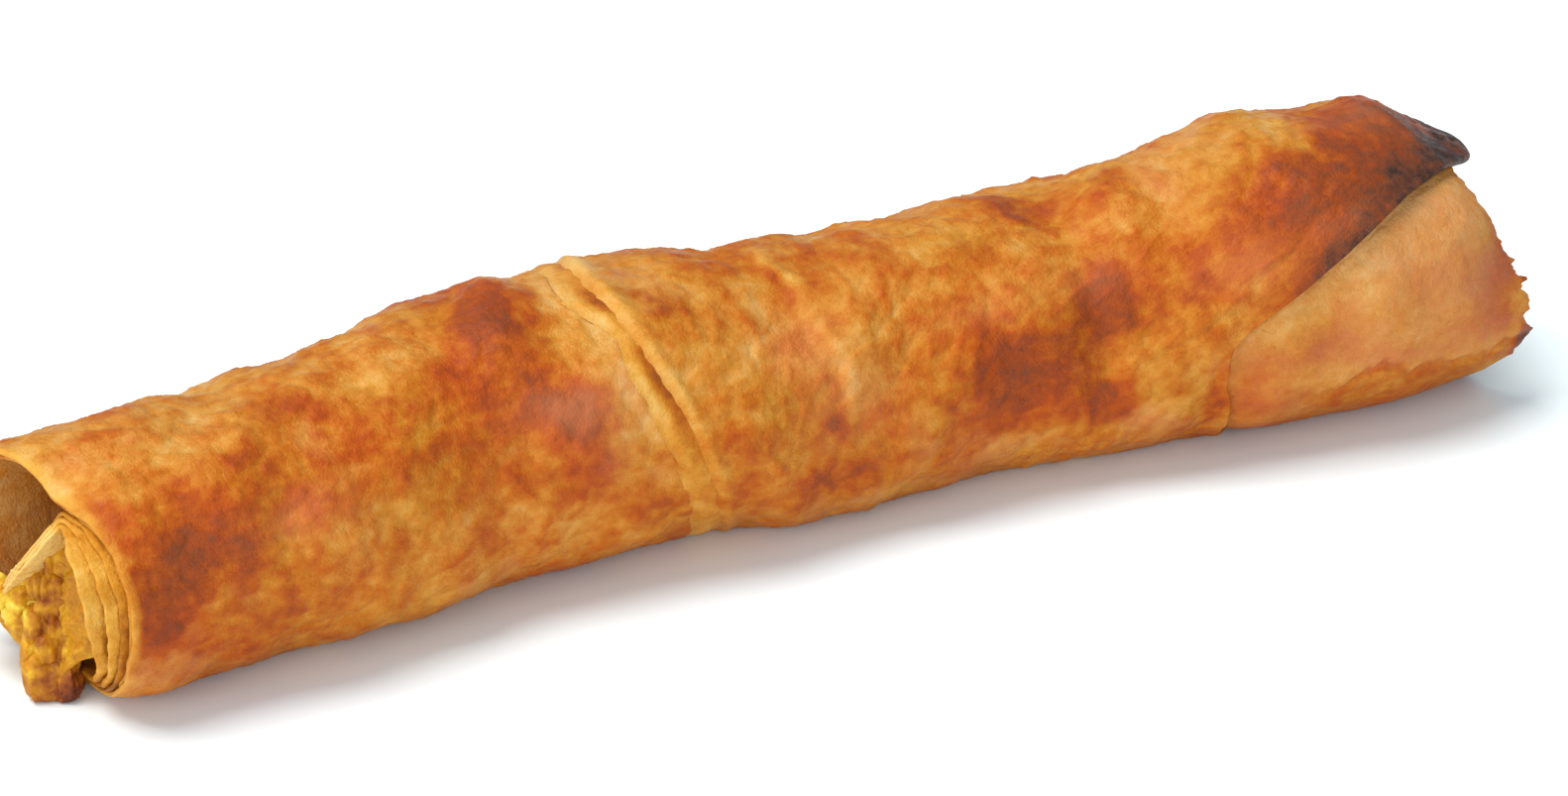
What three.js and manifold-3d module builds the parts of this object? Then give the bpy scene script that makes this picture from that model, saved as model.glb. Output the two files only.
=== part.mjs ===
// A baked borek: thin sheets of dough wound round a soft filling into a long roll.
// The roll lies along X on a flat underside, Z is up, and its shown side faces -Y.
// Two nodes: the wound pastry, which is a tube with layered ends, and the filling that runs through it.
// A point on the roll is given by x, by a turn round the roll (0 at the front, 90 degrees at the top)
// and by its distance from the roll's middle line. All sizes are in millimetres.
import * as THREE from "three";
import { mergeVertices } from "three/addons/utils/BufferGeometryUtils.js";
import Module from "manifold-3d";

const { degToRad, radToDeg, lerp, smoothstep, clamp } = THREE.MathUtils;
const TURN = 2 * Math.PI;
const bell = (t) => Math.exp(-t * t);

// ---------------------------------------------------------------- driving dimensions

// The inner roll: [place along X, radius, sideways bend of the middle line]
const STATIONS = [
  [-126, 20.2, -4.5],
  [-100, 20.3, -2.8],
  [-75, 20.9, 0.0],
  [-50, 21.7, 5.5],
  [-28, 22.1, 6.4],
  [0, 20.3, 6.6],
  [25, 19.7, 6.5],
  [48, 19.9, 6.8],
  [65, 20.7, 4.5],
  [80, 22.5, 2.0],
  [95, 23.4, 0.8],
  [110, 22.5, 0.4],
  [126, 18.2, 1.2],
];
const WIDE = 1.04; // the roll is this much wider than it is high
const SIT = 0.93; // height of the middle line, as a share of the radius: the rest is the flat underside

const UNDERSIDE = { turn: -90, spread: 38 }; // the part that lies on the table stays free of lumps

const LUMP_WAVES = 7;
const LUMP_LENGTH = 62; // longest wave of the uneven surface
const LUMP_HEIGHT = 0.5;

// Swellings and dents of the skin: [place along X, turn in degrees, height, length, spread in degrees]
const SWELLINGS = [
  [-107, 104, 1.2, 7, 34],
  [-68, 110, -0.9, 9, 34],
  [-40, 106, 1.6, 7, 34],
  [-20, 110, -1.3, 8, 34],
  [4, 104, -1.3, 8, 34],
  [53, 112, -1.6, 6, 34],
  [86, 111, 1.6, 5, 34],
  [-60, -43, 1.8, 9, 30],
  [-6, -50, -1.8, 5, 26],
  [32, -49, -1.4, 8, 28],
  [71, -49, -1.5, 6, 26],
];

// The outer wrap: two sheets that start at tilted edges and end together at the flap
const SHEET_1 = { x: -21, tilt: 9, thick: 0.9 };
const SHEET_2 = { x: -16.5, tilt: 9, thick: 1.1 };
const BEAD = { height: 0.9, peak: 1.6, end: 4.2 }; // rolled bead along the second sheet's edge
const STEP_RUN = 0.4; // run along X of a sheet's cut edge
// The flap's edge round the roll: [turn in degrees, place along X]
const FLAP_EDGE = [
  [-180, 124],
  [-150, 119],
  [-120, 106],
  [-90, 88],
  [-60, 75],
  [-29, 72],
  [6, 71.5],
  [28, 91],
  [52, 109],
  [76, 123],
  [120, 123.5],
  [180, 124],
];
const FLAP_THIN = { share: 0.4, length: 9 }; // the wrap thins towards the flap's edge
const FLAP_LIP = 0.6; // height of the flap's lower corner, as a share of the wrap there
const FLAP_GROOVE = 0.7; // dip at the foot of the flap's edge
const CURL = { lift: 1.5, length: 7, turn: 56, spread: 44, under: 0.7 }; // the tip lifts off the roll

// A pinched crease across the front
const CREASE = { x: 50, lean: 0.045, depth: 1.2, width: 3.2, turn: 18, spread: 48 };

// The left mouth
const LEFT_RIM = { x: -117.7, slant: 8.7, notch: 6.5, notchTurn: -90, notchSpread: 40 };
const LAYERS = 4;
const WALL = 5; // thickness of the wound layers
const THIN_SIDE = { less: 3.2, turn: 140, full: 74, none: 104 }; // thinner where the inner turn leaves them
const LAYER_GAP = 0.38; // share of a layer's thickness that is a gap
const GAP_DEPTH = { thick: 3.2, thin: 0.8 };
// How far each layer stands out past the one outside it
const STAGGER = { most: 2.1, least: 0.4, turn: 14, spread: 50 };

// The right mouth, behind the flap: its rim round the roll, as [turn in degrees, place along X]
const RIGHT_RIM = [
  [-180, 122],
  [-120, 121.5],
  [-70, 122.5],
  [-24, 125],
  [4, 126.5],
  [19, 125],
  [37, 121.5],
  [61, 117.5],
  [90, 118.5],
  [130, 121],
  [180, 122],
];
const RIGHT_JAG = [[9, 0.5], [17, 0.3]]; // waves of the torn rim: [how many round, height]
const RIGHT_STAGGER = -0.7;

// The inner turn that crosses the left mouth, as [across, up] from the roll's middle
const CROSSING = [
  [-10.0, 15.5],
  [-6.7, 10.6],
  [-4.2, 6.6],
  [-1.4, 2.0],
  [1.6, -2.6],
  [5.8, -7.2],
  [13.4, -12.0],
];
const CROSSING_THICK = 1.9;
const CROSSING_EDGE = [-114.8, -119.8]; // its front edge along X at the pinch and at the middle
const CROSSING_NOSE = 0.4; // the front edge is rounded by this much
const CROSSING_BACK = -98;
const SLOT_EXTRA = 3; // the filling's slot runs past the sheet's front and back edges

// The filling
const CLEARANCE = 0.35;
const SHRINK = 0.6; // it shrinks away from the layers by this much more at the left mouth
const RECESS = 0.9; // the filling stays this far inside the slanted mouth, apart from its lobes
// Lobes pushed out of the mouth: how far, where across and up, how wide and how high
const LOBES = [
  { out: 3.8, across: -2.2, up: -11, wide: 6.5, high: 8 },
  { out: 4, across: 1.5, up: -2.5, wide: 6, high: 5 },
];
const HOLLOW_X = -104; // above the inner turn it ends this far in
const DROOP = { from: 1.8, to: 4.6, drop: 6.4 }; // what is pushed out past the rim sags to the table
const FILLING_RIGHT = [[117, 0.35], [115.5, 0.8]]; // its domed right end: [place along X, share of the bore]

// Mesh fineness
const AROUND = 52;
const AROUND_FILLING = 34;
const ROWS = { left: 17, collar: 3, sleeve: 19, flap: 11, right: 7, crossing: 11 };
const STRAIGHT_END = 63; // rows of points run straight round up to here, then lean over to the flap
const BORE_ROWS = [108, 80, 50, 20, -10, -40, -70, -96];
const CAP_SHARES = [1, 0.96, 0.88, 0.76, 0.62, 0.46, 0.3, 0.14];

// ---------------------------------------------------------------- form of the roll

// A smooth curve through the points [x, ...values], with each slope taken from its neighbours.
function through(points, x, column) {
  const last = points.length - 1;
  const at = clamp(x, points[0][0], points[last][0]);
  let i = points.findIndex((p, k) => k < last && at <= points[k + 1][0]);
  if (i < 0) i = last - 1;
  const slope = (k) => {
    const a = Math.max(k - 1, 0);
    const b = Math.min(k + 1, last);
    return (points[b][column] - points[a][column]) / (points[b][0] - points[a][0]);
  };
  const span = points[i + 1][0] - points[i][0];
  const t = (at - points[i][0]) / span;
  return (
    points[i][column] * (1 + 2 * t) * (1 - t) ** 2 +
    slope(i) * span * t * (1 - t) ** 2 +
    points[i + 1][column] * t * t * (3 - 2 * t) +
    slope(i + 1) * span * t * t * (t - 1)
  );
}
const rollRadius = (x) => through(STATIONS, x, 1);
const rollBend = (x) => through(STATIONS, x, 2);

// The smallest angle in degrees from a centre to a turn, and the same as a share of a spread.
function degreesFrom(centre, turn) {
  const gap = turn - degToRad(centre);
  return radToDeg(Math.atan2(Math.sin(gap), Math.cos(gap)));
}
const apart = (turn, centre, spread) => degreesFrom(centre, turn) / spread;

// Uneven hand-rolled surface: crossing waves, each shorter and lower than the last, none underneath.
function lumps(x, turn) {
  let sum = 0;
  for (let i = 1; i <= LUMP_WAVES; i++) {
    const windings = (1 + ((2 * i) % 5)) * (i % 2 ? 1 : -1);
    const phase = (TURN * x * i ** 0.8) / LUMP_LENGTH + windings * turn + 2.4 * i * i;
    sum += (LUMP_HEIGHT / i ** 0.7) * Math.sin(phase);
  }
  return sum * (1 - bell(apart(turn, UNDERSIDE.turn, UNDERSIDE.spread)));
}

const swellings = (x, turn) =>
  SWELLINGS.reduce((sum, [at, centre, height, length, spread]) =>
    sum + height * bell((x - at) / length) * bell(apart(turn, centre, spread)), 0);

function crease(x, turn) {
  const middle = CREASE.x + CREASE.lean * radToDeg(turn);
  return CREASE.depth * bell((x - middle) / CREASE.width) * bell(apart(turn, CREASE.turn, CREASE.spread));
}

// Distance of the inner roll's skin, and of the smooth bore inside the layers, from the middle line.
const skin = (x, turn) => rollRadius(x) + lumps(x, turn) + swellings(x, turn) - crease(x, turn);
const bore = (x) => rollRadius(x) - WALL;

// The underside is cut flat: every layer is drawn in by the same share there.
function place(x, turn, reach) {
  const down = -Math.sin(turn);
  const r = reach * (down > SIT ? SIT / down : 1);
  const z = SIT * rollRadius(x) + r * Math.sin(turn);
  return [x, rollBend(x) - WIDE * r * Math.cos(turn), Math.max(0, z)];
}

// ---------------------------------------------------------------- meshes from rows of loops

const apartSquared = (a, b) => a.reduce((sum, v, i) => sum + (v - b[i]) ** 2, 0);

// Joins rows of equally long loops into one closed mesh. A ring of rows closes on itself, and an
// open one gets a fan at each end. Each four-sided cell is split along its shorter diagonal.
function loft(rows, ring) {
  const n = rows[0].length;
  const points = rows.flat();
  const faces = [];
  const steps = ring ? rows.length : rows.length - 1;
  for (let i = 0; i < steps; i++) {
    const a = i * n;
    const b = ((i + 1) % rows.length) * n;
    for (let j = 0; j < n; j++) {
      const [p, q, r, s] = [a + j, a + ((j + 1) % n), b + ((j + 1) % n), b + j];
      const split = apartSquared(points[p], points[r]) < apartSquared(points[q], points[s]);
      faces.push(...(split ? [p, q, r, p, r, s] : [q, r, s, q, s, p]));
    }
  }
  if (!ring) {
    for (const [row, flip] of [[0, false], [rows.length - 1, true]]) {
      const middle = rows[row].reduce((m, p) => m.map((v, c) => v + p[c] / n), [0, 0, 0]);
      const hub = points.push(middle) - 1;
      for (let j = 0; j < n; j++) {
        const rim = [row * n + j, row * n + ((j + 1) % n)];
        faces.push(hub, ...(flip ? rim : rim.reverse()));
      }
    }
  }
  const geometry = new THREE.BufferGeometry();
  geometry.setAttribute("position", new THREE.Float32BufferAttribute(points.flat(), 3));
  geometry.setIndex(faces);
  return geometry;
}

const loop = (count, point) => Array.from({ length: count }, (_, j) => point((TURN * j) / count));
const steps = (count, value) => Array.from({ length: count }, (_, i) => value(i / (count - 1)));

// ---------------------------------------------------------------- the wound pastry

const wrapEdge = (sheet, turn) => sheet.x - sheet.tilt * Math.sin(turn);

// Place along X of an edge that is given by its points round the roll.
const aroundRoll = (edge, turn) => through(edge, degreesFrom(0, turn), 1);
const flapEdge = (turn) => aroundRoll(FLAP_EDGE, turn);

const leftRim = (turn) =>
  LEFT_RIM.x +
  LEFT_RIM.slant * Math.cos(turn) +
  LEFT_RIM.notch * bell(apart(turn, LEFT_RIM.notchTurn, LEFT_RIM.notchSpread));

const rightRim = (turn) =>
  RIGHT_JAG.reduce((x, [count, height]) => x + height * Math.sin(count * turn), aroundRoll(RIGHT_RIM, turn));

// How far the inner layers have left the wall at a turn of the left mouth, from 0 to 1.
const thinned = (turn) =>
  1 - smoothstep(Math.abs(degreesFrom(THIN_SIDE.turn, turn)), THIN_SIDE.full, THIN_SIDE.none);
const mouthBore = (x, turn) => bore(x) + THIN_SIDE.less * thinned(turn);
const stagger = (turn) =>
  lerp(STAGGER.least, STAGGER.most, bell(apart(turn, STAGGER.turn, STAGGER.spread)) * (1 - thinned(turn)));
const innerRim = (turn) => leftRim(turn) - (LAYERS - 1) * stagger(turn);

// Profile of one end: each layer's rim, then the gap behind it, from the outside in.
function layeredEnd(turn, rim, step, gapDepth, inner) {
  const outer = skin(rim, turn);
  const each = (outer - inner) / LAYERS;
  const depth = gapDepth * (1 + 0.5 * Math.sin(3 * turn));
  const profile = [[rim, outer]];
  for (let k = 1; k < LAYERS; k++) {
    const x = rim + (k - 1) * step;
    const gap = outer - k * each;
    profile.push([x, gap + LAYER_GAP * each], [x + depth, gap + (LAYER_GAP * each) / 2], [x + step, gap]);
  }
  profile.push([rim + (LAYERS - 1) * step, inner]);
  return profile;
}

// The whole profile at one turn, as [x, distance]: outer skin to the right, right end, bore, left end.
function pastryProfile(turn) {
  const left = leftRim(turn);
  const right = rightRim(turn);
  const edge1 = wrapEdge(SHEET_1, turn);
  const edge2 = wrapEdge(SHEET_2, turn);
  const flap = flapEdge(turn);
  const wrap = SHEET_1.thick + SHEET_2.thick;
  const curl = (x) => CURL.lift * bell((flap - x) / CURL.length) * bell(apart(turn, CURL.turn, CURL.spread));
  const sleeve = (x) => wrap * (1 - FLAP_THIN.share * bell((flap - x) / FLAP_THIN.length)) + curl(x);
  const on = (from, to, count, lift) =>
    steps(count, (t) => {
      const x = lerp(from, to, t);
      return [x, skin(x, turn) + lift(x)];
    });
  const outer = [
    ...on(left, edge1, ROWS.left, () => 0).slice(1),
    ...on(edge1 + STEP_RUN, edge2, ROWS.collar, () => SHEET_1.thick),
    [edge2 + STEP_RUN, skin(edge2, turn) + wrap],
    [edge2 + BEAD.peak, skin(edge2, turn) + wrap + BEAD.height],
    ...on(edge2 + BEAD.end, STRAIGHT_END, ROWS.sleeve, () => wrap),
    ...on(STRAIGHT_END, flap - STEP_RUN / 2, ROWS.flap, sleeve).slice(1),
    [flap, skin(flap, turn) + FLAP_LIP * sleeve(flap)],
    [flap - STEP_RUN, skin(flap, turn) - FLAP_GROOVE + CURL.under * curl(flap)],
    ...on(flap, right, ROWS.right, () => 0).slice(1, -1),
  ];
  const rightEnd = layeredEnd(turn, right, RIGHT_STAGGER, -GAP_DEPTH.thick, bore(right));
  const leftGaps = lerp(GAP_DEPTH.thick, GAP_DEPTH.thin, thinned(turn));
  const leftEnd = layeredEnd(turn, left, -stagger(turn), leftGaps, mouthBore(left, turn));
  const inside = BORE_ROWS.map((x) => [x, bore(x)]);
  return [...outer, ...rightEnd, ...inside, ...leftEnd.reverse()];
}

function pastryTube() {
  const profiles = loop(AROUND, (turn) => pastryProfile(turn).map(([x, r]) => place(x, turn, r)));
  return loft(profiles, true);
}

// ---------------------------------------------------------------- the inner turn across the mouth

const crossingLine = new THREE.CatmullRomCurve3(CROSSING.map(([y, z]) => new THREE.Vector3(0, y, z)));

// A bowed sheet along the crossing line, as loops round its thickness.
function crossing(thick, extra) {
  const middle = [rollBend(CROSSING_EDGE[1]), SIT * rollRadius(CROSSING_EDGE[1])];
  const rows = steps(ROWS.crossing, (t) => {
    const p = crossingLine.getPoint(t);
    const along = crossingLine.getTangent(t);
    const front = lerp(CROSSING_EDGE[0], CROSSING_EDGE[1], smoothstep(t, 0, 0.5)) - extra;
    const back = CROSSING_BACK + extra;
    const corner = (x, side) => [
      x,
      middle[0] + p.y + (side * along.z * thick) / 2,
      middle[1] + p.z - (side * along.y * thick) / 2,
    ];
    const nose = corner(front - CROSSING_NOSE, 0);
    return [corner(front, 1), nose, corner(front, -1), corner(back, -1), corner(back, 1)];
  });
  return loft(rows, false);
}

// ---------------------------------------------------------------- the filling

// How far a point of the section lies on the lower side of the crossing sheet, from 0 to 1.
function lowerSide(across, up) {
  const [a, b] = [CROSSING[1], CROSSING[5]];
  const side = (b[1] - a[1]) * (across - a[0]) - (b[0] - a[0]) * (up - a[1]);
  return smoothstep(side / Math.hypot(b[0] - a[0], b[1] - a[1]), -1.2, 1.2);
}

function fillingEnd(across, up) {
  const pushed = LOBES.map((l) => l.out * bell((across - l.across) / l.wide) * bell((up - l.up) / l.high));
  const mouth = LEFT_RIM.x - (LEFT_RIM.slant * across) / rollRadius(LEFT_RIM.x);
  return lerp(HOLLOW_X, mouth + RECESS - Math.max(...pushed), lowerSide(across, up));
}

// The filling shrinks away from the layers a little towards the left mouth.
function fillingPoint(x, turn, share) {
  const gap = CLEARANCE + SHRINK * (1 - smoothstep(x, LEFT_RIM.x, BORE_ROWS.at(-1)));
  return place(x, turn, share * (bore(x) - gap));
}

function fillingCore() {
  const endAt = (turn, share) => {
    const [, y, z] = fillingPoint(LEFT_RIM.x, turn, share);
    return fillingEnd(y - rollBend(LEFT_RIM.x), z - SIT * rollRadius(LEFT_RIM.x));
  };
  const capPoint = (turn, share) => {
    const x = endAt(turn, share);
    const [, y, z] = fillingPoint(x, turn, share);
    const sag = DROOP.drop * smoothstep(innerRim(turn) - x, DROOP.from, DROOP.to);
    return [x, y, Math.max(0, z - sag)];
  };
  // The last straight row stays inside the mouth, where nothing sags yet.
  const lip = loop(AROUND_FILLING, (turn) =>
    fillingPoint(Math.max(endAt(turn, 1) + 0.8, innerRim(turn)), turn, 1),
  );
  const sides = BORE_ROWS.map((x) => loop(AROUND_FILLING, (turn) => fillingPoint(x, turn, 1)));
  const caps = CAP_SHARES.map((share) => loop(AROUND_FILLING, (turn) => capPoint(turn, share)));
  const right = FILLING_RIGHT.map(([x, share]) =>
    loop(AROUND_FILLING, (turn) => fillingPoint(x, turn, share)),
  );
  return loft([...right, ...sides, lip, ...caps], false);
}

// ---------------------------------------------------------------- joining and cutting

const wasm = await Module();
wasm.setup();

function solid(geometry) {
  const merged = mergeVertices(geometry, 1e-4);
  const mesh = new wasm.Mesh({
    numProp: 3,
    vertProperties: merged.attributes.position.array,
    triVerts: new Uint32Array(merged.index.array),
  });
  mesh.merge();
  return new wasm.Manifold(mesh);
}

function geometryOf(manifold) {
  const mesh = manifold.getMesh();
  const geometry = new THREE.BufferGeometry();
  geometry.setAttribute("position", new THREE.BufferAttribute(mesh.vertProperties, 3));
  geometry.setIndex(new THREE.BufferAttribute(mesh.triVerts, 1));
  geometry.computeVertexNormals();
  return geometry;
}

function largest(manifold) {
  return manifold.decompose().sort((a, b) => b.volume() - a.volume())[0];
}

const tube = solid(pastryTube());
const innerTurn = solid(crossing(CROSSING_THICK, 0));
const slot = solid(crossing(CROSSING_THICK + 2 * CLEARANCE, SLOT_EXTRA));
const pastry = largest(tube.add(innerTurn));
const filling = largest(solid(fillingCore()).subtract(slot));

// ---------------------------------------------------------------- the object

function node(name, manifold, color, roughness) {
  const material = new THREE.MeshStandardMaterial({ color, roughness, metalness: 0 });
  const mesh = new THREE.Mesh(geometryOf(manifold), material);
  mesh.name = name;
  return mesh;
}

const borek = new THREE.Group();
borek.add(node("pastry", pastry, 0xd08433, 0.6));
borek.add(node("filling", filling, 0xd9a93a, 0.7));

// The origin is under the middle of the object's box, on the table.
const box = new THREE.Box3().setFromObject(borek);
const centre = box.getCenter(new THREE.Vector3());
borek.position.set(-centre.x, -centre.y, -box.min.z);

export default borek;
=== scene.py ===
# %% [markdown]
# # A baked borek roll
# The real thing is a stack of very thin sheets of dough, wound round a soft filling into a long roll and
# baked until the outside is mottled gold, orange and red-brown. The solid model already has its main
# form. Here every sheet that shows is made again with a fine surface: the inner roll, a collar and a
# sleeve wrapped over it, a loose scorched flap, the layered ends, and the filling that is pushed out.
# First the solid model is loaded as a fixed frame.

# %% Load the frame
import bpy
import numpy as np
from mathutils import Matrix, Vector


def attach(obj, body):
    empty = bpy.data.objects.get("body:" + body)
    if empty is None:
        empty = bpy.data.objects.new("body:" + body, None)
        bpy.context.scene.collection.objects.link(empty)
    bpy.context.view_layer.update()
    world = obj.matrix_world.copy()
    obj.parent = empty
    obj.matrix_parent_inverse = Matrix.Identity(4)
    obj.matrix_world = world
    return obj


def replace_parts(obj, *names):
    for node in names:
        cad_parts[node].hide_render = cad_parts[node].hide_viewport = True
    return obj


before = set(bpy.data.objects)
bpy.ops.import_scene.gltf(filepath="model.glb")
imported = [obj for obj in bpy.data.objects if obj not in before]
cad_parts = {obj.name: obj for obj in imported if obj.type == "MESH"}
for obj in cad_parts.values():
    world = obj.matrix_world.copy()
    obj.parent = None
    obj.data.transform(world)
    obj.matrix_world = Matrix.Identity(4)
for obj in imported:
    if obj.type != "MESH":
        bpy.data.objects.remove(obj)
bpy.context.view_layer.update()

# %% [markdown]
# ## Numbers and small helpers
# Everything is worked out in millimetres, in the roll's own coordinates: x along the roll, a turn round
# it (0 at the front, 90 degrees at the top) and a distance from its middle line. SHIFT moves that to the
# frame's origin, which is under the middle of the object's box.
# The points of a surface aren't typed in. They come from formulas, as whole numpy arrays.

# %% Helpers
SHIFT = np.array([0.2148, -3.4716, 0.0])
AROUND = 132.0        # length of the skin round the roll, for the grain of patterns
TAU = 2 * np.pi


def bell(t):
    """A smooth hill: 1 at t = 0, falling as exp(-t squared)."""
    return np.exp(-np.square(t))


def lerp(a, b, t):
    """The value a share t of the way from a to b."""
    return a + (b - a) * t


def smoothstep(t):
    """0 below 0, 1 above 1, and 3t^2 - 2t^3 between them."""
    t = np.clip(t, 0, 1)
    return t * t * (3 - 2 * t)


def through(points, x, column=1):
    """A smooth curve through points: a cubic between each two, whose slope at a point is that of
    the line between its two neighbours."""
    points = np.asarray(points, float)
    at, value = points[:, 0], points[:, column]
    last = len(at) - 1
    after, before = np.minimum(np.arange(last + 1) + 1, last), np.maximum(np.arange(last + 1) - 1, 0)
    slope = (value[after] - value[before]) / (at[after] - at[before])
    x = np.clip(x, at[0], at[-1])
    i = np.clip(np.searchsorted(at, x, side="right") - 1, 0, last - 1)
    span = at[i + 1] - at[i]
    t = (x - at[i]) / span
    return (value[i] * (1 + 2 * t) * (1 - t) ** 2 + slope[i] * span * t * (1 - t) ** 2
            + value[i + 1] * t * t * (3 - 2 * t) + slope[i + 1] * span * t * t * (t - 1))


def degrees_from(centre, turn):
    """The smallest angle in degrees from a centre to a turn."""
    gap = turn - np.radians(centre)
    return np.degrees(np.arctan2(np.sin(gap), np.cos(gap)))


def near(turn, centre, spread):
    """A smooth hill over the turns near a centre: 1 there, 0.37 a spread away."""
    return bell(degrees_from(centre, turn) / spread)


def add(name, data):
    """A new object of the scene, made of some data."""
    made = bpy.data.objects.new(name, data)
    bpy.context.scene.collection.objects.link(made)
    return made


# %% [markdown]
# ## The form of the roll
# The roll's radius and its sideways bend change slowly along x. Crossing sine waves make it uneven, as
# hand-rolled dough is, and a few swellings, dents and one pinched crease are where the real roll has
# them. These are nearly the solid model's own formulas, so the fine surfaces fit it. The stations are
# given after a fit of radius and bend to the photograph's outline.

# %% Form of the roll
STATIONS = [  # [place along x, radius, sideways bend of the middle line]
    (-126, 20.2, -4.5), (-100, 20.3, -2.8), (-75, 20.9, 0.0), (-50, 21.7, 5.5), (-28, 22.1, 6.4),
    (0, 20.3, 6.6), (25, 19.7, 6.5), (48, 19.9, 6.8), (65, 20.7, 4.5), (80, 22.5, 2.0), (95, 23.4, 0.8),
    (110, 22.5, 0.4), (126, 18.2, 1.2),
]
WIDE = 1.04           # the roll is this much wider than it is high
SIT = 0.93            # height of the middle line as a share of the radius: the rest is the flat underside
SWELLINGS = [         # [place along x, turn, height, length, spread]
    (-107, 104, 1.2, 7, 34), (-68, 110, -0.9, 9, 34), (-40, 106, 1.6, 7, 34), (-20, 110, -1.3, 8, 34),
    (4, 104, -1.3, 8, 34), (53, 112, -1.6, 6, 34), (86, 111, 1.6, 5, 34), (-60, -43, 1.8, 9, 30),
    (-6, -50, -1.8, 5, 26), (32, -49, -1.4, 8, 28), (71, -49, -1.5, 6, 26), (-117, 63, -5.0, 7, 23),
    (53, 14, -0.7, 1.9, 22),
]


def roll_radius(x):
    return through(STATIONS, x, 1)


def roll_bend(x):
    return through(STATIONS, x, 2)


def off_underside(turn):
    """1 on the sides and top of the roll, falling to 0 underneath, where it lies on the tray."""
    return 1 - near(turn, -90, 38)


def lumps(x, turn):
    """Seven crossing waves, each shorter and lower than the last."""
    total = 0
    for i in range(1, 8):
        windings = (1 + (2 * i) % 5) * (1 if i % 2 else -1)
        total = total + 0.5 / i ** 0.7 * np.sin(TAU * x * i ** 0.8 / 62 + windings * turn + 2.4 * i * i)
    return total * off_underside(turn)


def skin(x, turn):
    """Distance of the inner roll's skin from the middle line, before its fine relief."""
    reach = roll_radius(x) + lumps(x, turn)
    for at, centre, height, length, spread in SWELLINGS:
        reach = reach + height * bell((x - at) / length) * near(turn, centre, spread)
    wrapped = np.degrees(np.mod(turn + np.pi, TAU) - np.pi)
    return reach - 1.2 * bell((x - 50 - 0.045 * wrapped) / 3.2) * near(turn, 18, 48)


def corner_lift(x, turn):
    """The front lower corner of the left mouth stands a little off the tray."""
    return 1.3 * bell((x + 112) / 6) * near(turn, -60, 26)


def put(x, turn, reach, depth=0.0):
    """A point from x, turn and distance. The underside is flat: a smooth maximum keeps a surface
    that lies a depth under the outermost one at that height above the tray."""
    x, turn, reach, depth = np.broadcast_arrays(x, turn, reach, depth)
    z, floor = SIT * roll_radius(x) + reach * np.sin(turn), SIT * depth
    z = (z + floor + np.sqrt((z - floor) ** 2 + 0.7 ** 2)) / 2 + corner_lift(x, turn)
    return np.stack([x, roll_bend(x) - WIDE * reach * np.cos(turn), z], -1)


# %% [markdown]
# ## Camera, floor and light
# The photograph looks along the roll from its left end, from 27 degrees above, with a long lens. The
# camera is made first, so that every later step can be looked at from the same place.
# The floor is plain white. A very wide sun, almost overhead, lights the whole floor evenly and gives the
# soft shadow that lies close under the roll. Two broad lamps fill the side that shows and the left end.

# %% Camera
AIM = Vector((0.002485, -0.009472, 0.0224))
AZIMUTH, ELEVATION, DISTANCE = np.radians(-25.74), np.radians(27), 1.0
back = Vector((np.sin(AZIMUTH) * np.cos(ELEVATION), -np.cos(AZIMUTH) * np.cos(ELEVATION), np.sin(ELEVATION)))
across = Vector((np.cos(AZIMUTH), np.sin(AZIMUTH), 0))
upward = back.cross(across)

SENSOR = 36.0          # millimetres
IMAGE_WIDTH = 1582     # pixels of the photograph
FOCAL_LENGTH = 6692    # in the same pixels
camera = add("camera", bpy.data.cameras.new("camera"))
camera.data.sensor_width = SENSOR
camera.data.lens = FOCAL_LENGTH / IMAGE_WIDTH * SENSOR
facing = Matrix((across, upward, back)).transposed().to_4x4()
camera.matrix_world = Matrix.Translation(AIM + back * DISTANCE) @ facing
bpy.context.scene.camera = camera
print("lens", round(camera.data.lens, 1), "mm")

# %% Floor and lamps
WARM = (1, 0.98, 0.95)
FLOOR_HALF, FLOOR_DROP = 4.0, 6e-5    # metres: it lies a hair below the roll
LAMPS_AIM = Vector((0, 0, 0.02))


def lamp(name, place, size, power):
    """A square soft lamp at a place, turned towards the middle of the roll."""
    data = bpy.data.lights.new(name, "AREA")
    data.shape, data.size, data.energy, data.color = "SQUARE", size, power, WARM
    made = add(name, data)
    made.location = place
    made.rotation_euler = (LAMPS_AIM - Vector(place)).to_track_quat("-Z", "Y").to_euler()


floor_mesh = bpy.data.meshes.new("floor")
floor_corners = [(FLOOR_HALF * i, FLOOR_HALF * j, -FLOOR_DROP)
                 for i, j in ((-1, -1), (1, -1), (1, 1), (-1, 1))]
floor_mesh.from_pydata(floor_corners, [], [(0, 1, 2, 3)])
floor = add("floor", floor_mesh)
floor_finish = bpy.data.materials.new("white_floor")
floor_finish.use_nodes = True
floor_inputs = floor_finish.node_tree.nodes["Principled BSDF"].inputs
floor_inputs["Base Color"].default_value = (0.89, 0.925, 0.94, 1)
floor_inputs["Roughness"].default_value = 0.9
floor_mesh.materials.append(floor_finish)

world = bpy.data.worlds.new("studio")
world.use_nodes = True
sky_inputs = world.node_tree.nodes["Background"].inputs
sky_inputs["Color"].default_value = (0.70, 0.95, 1.07, 1)
sky_inputs["Strength"].default_value = 0.51
bpy.context.scene.world = world
bpy.context.scene.view_settings.view_transform = "Standard"

lamp("front", (-0.35, -1.25, 0.34), 1.0, 7.6)
lamp("left", (-1.1, -0.45, 0.36), 0.7, 5.0)

overhead = add("overhead", bpy.data.lights.new("overhead", "SUN"))
overhead.data.energy, overhead.data.angle, overhead.data.color = 2.72, 0.62, WARM
overhead.rotation_euler = Vector((-0.34, 0.15, 1.0)).to_track_quat("Z", "Y").to_euler()

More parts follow.
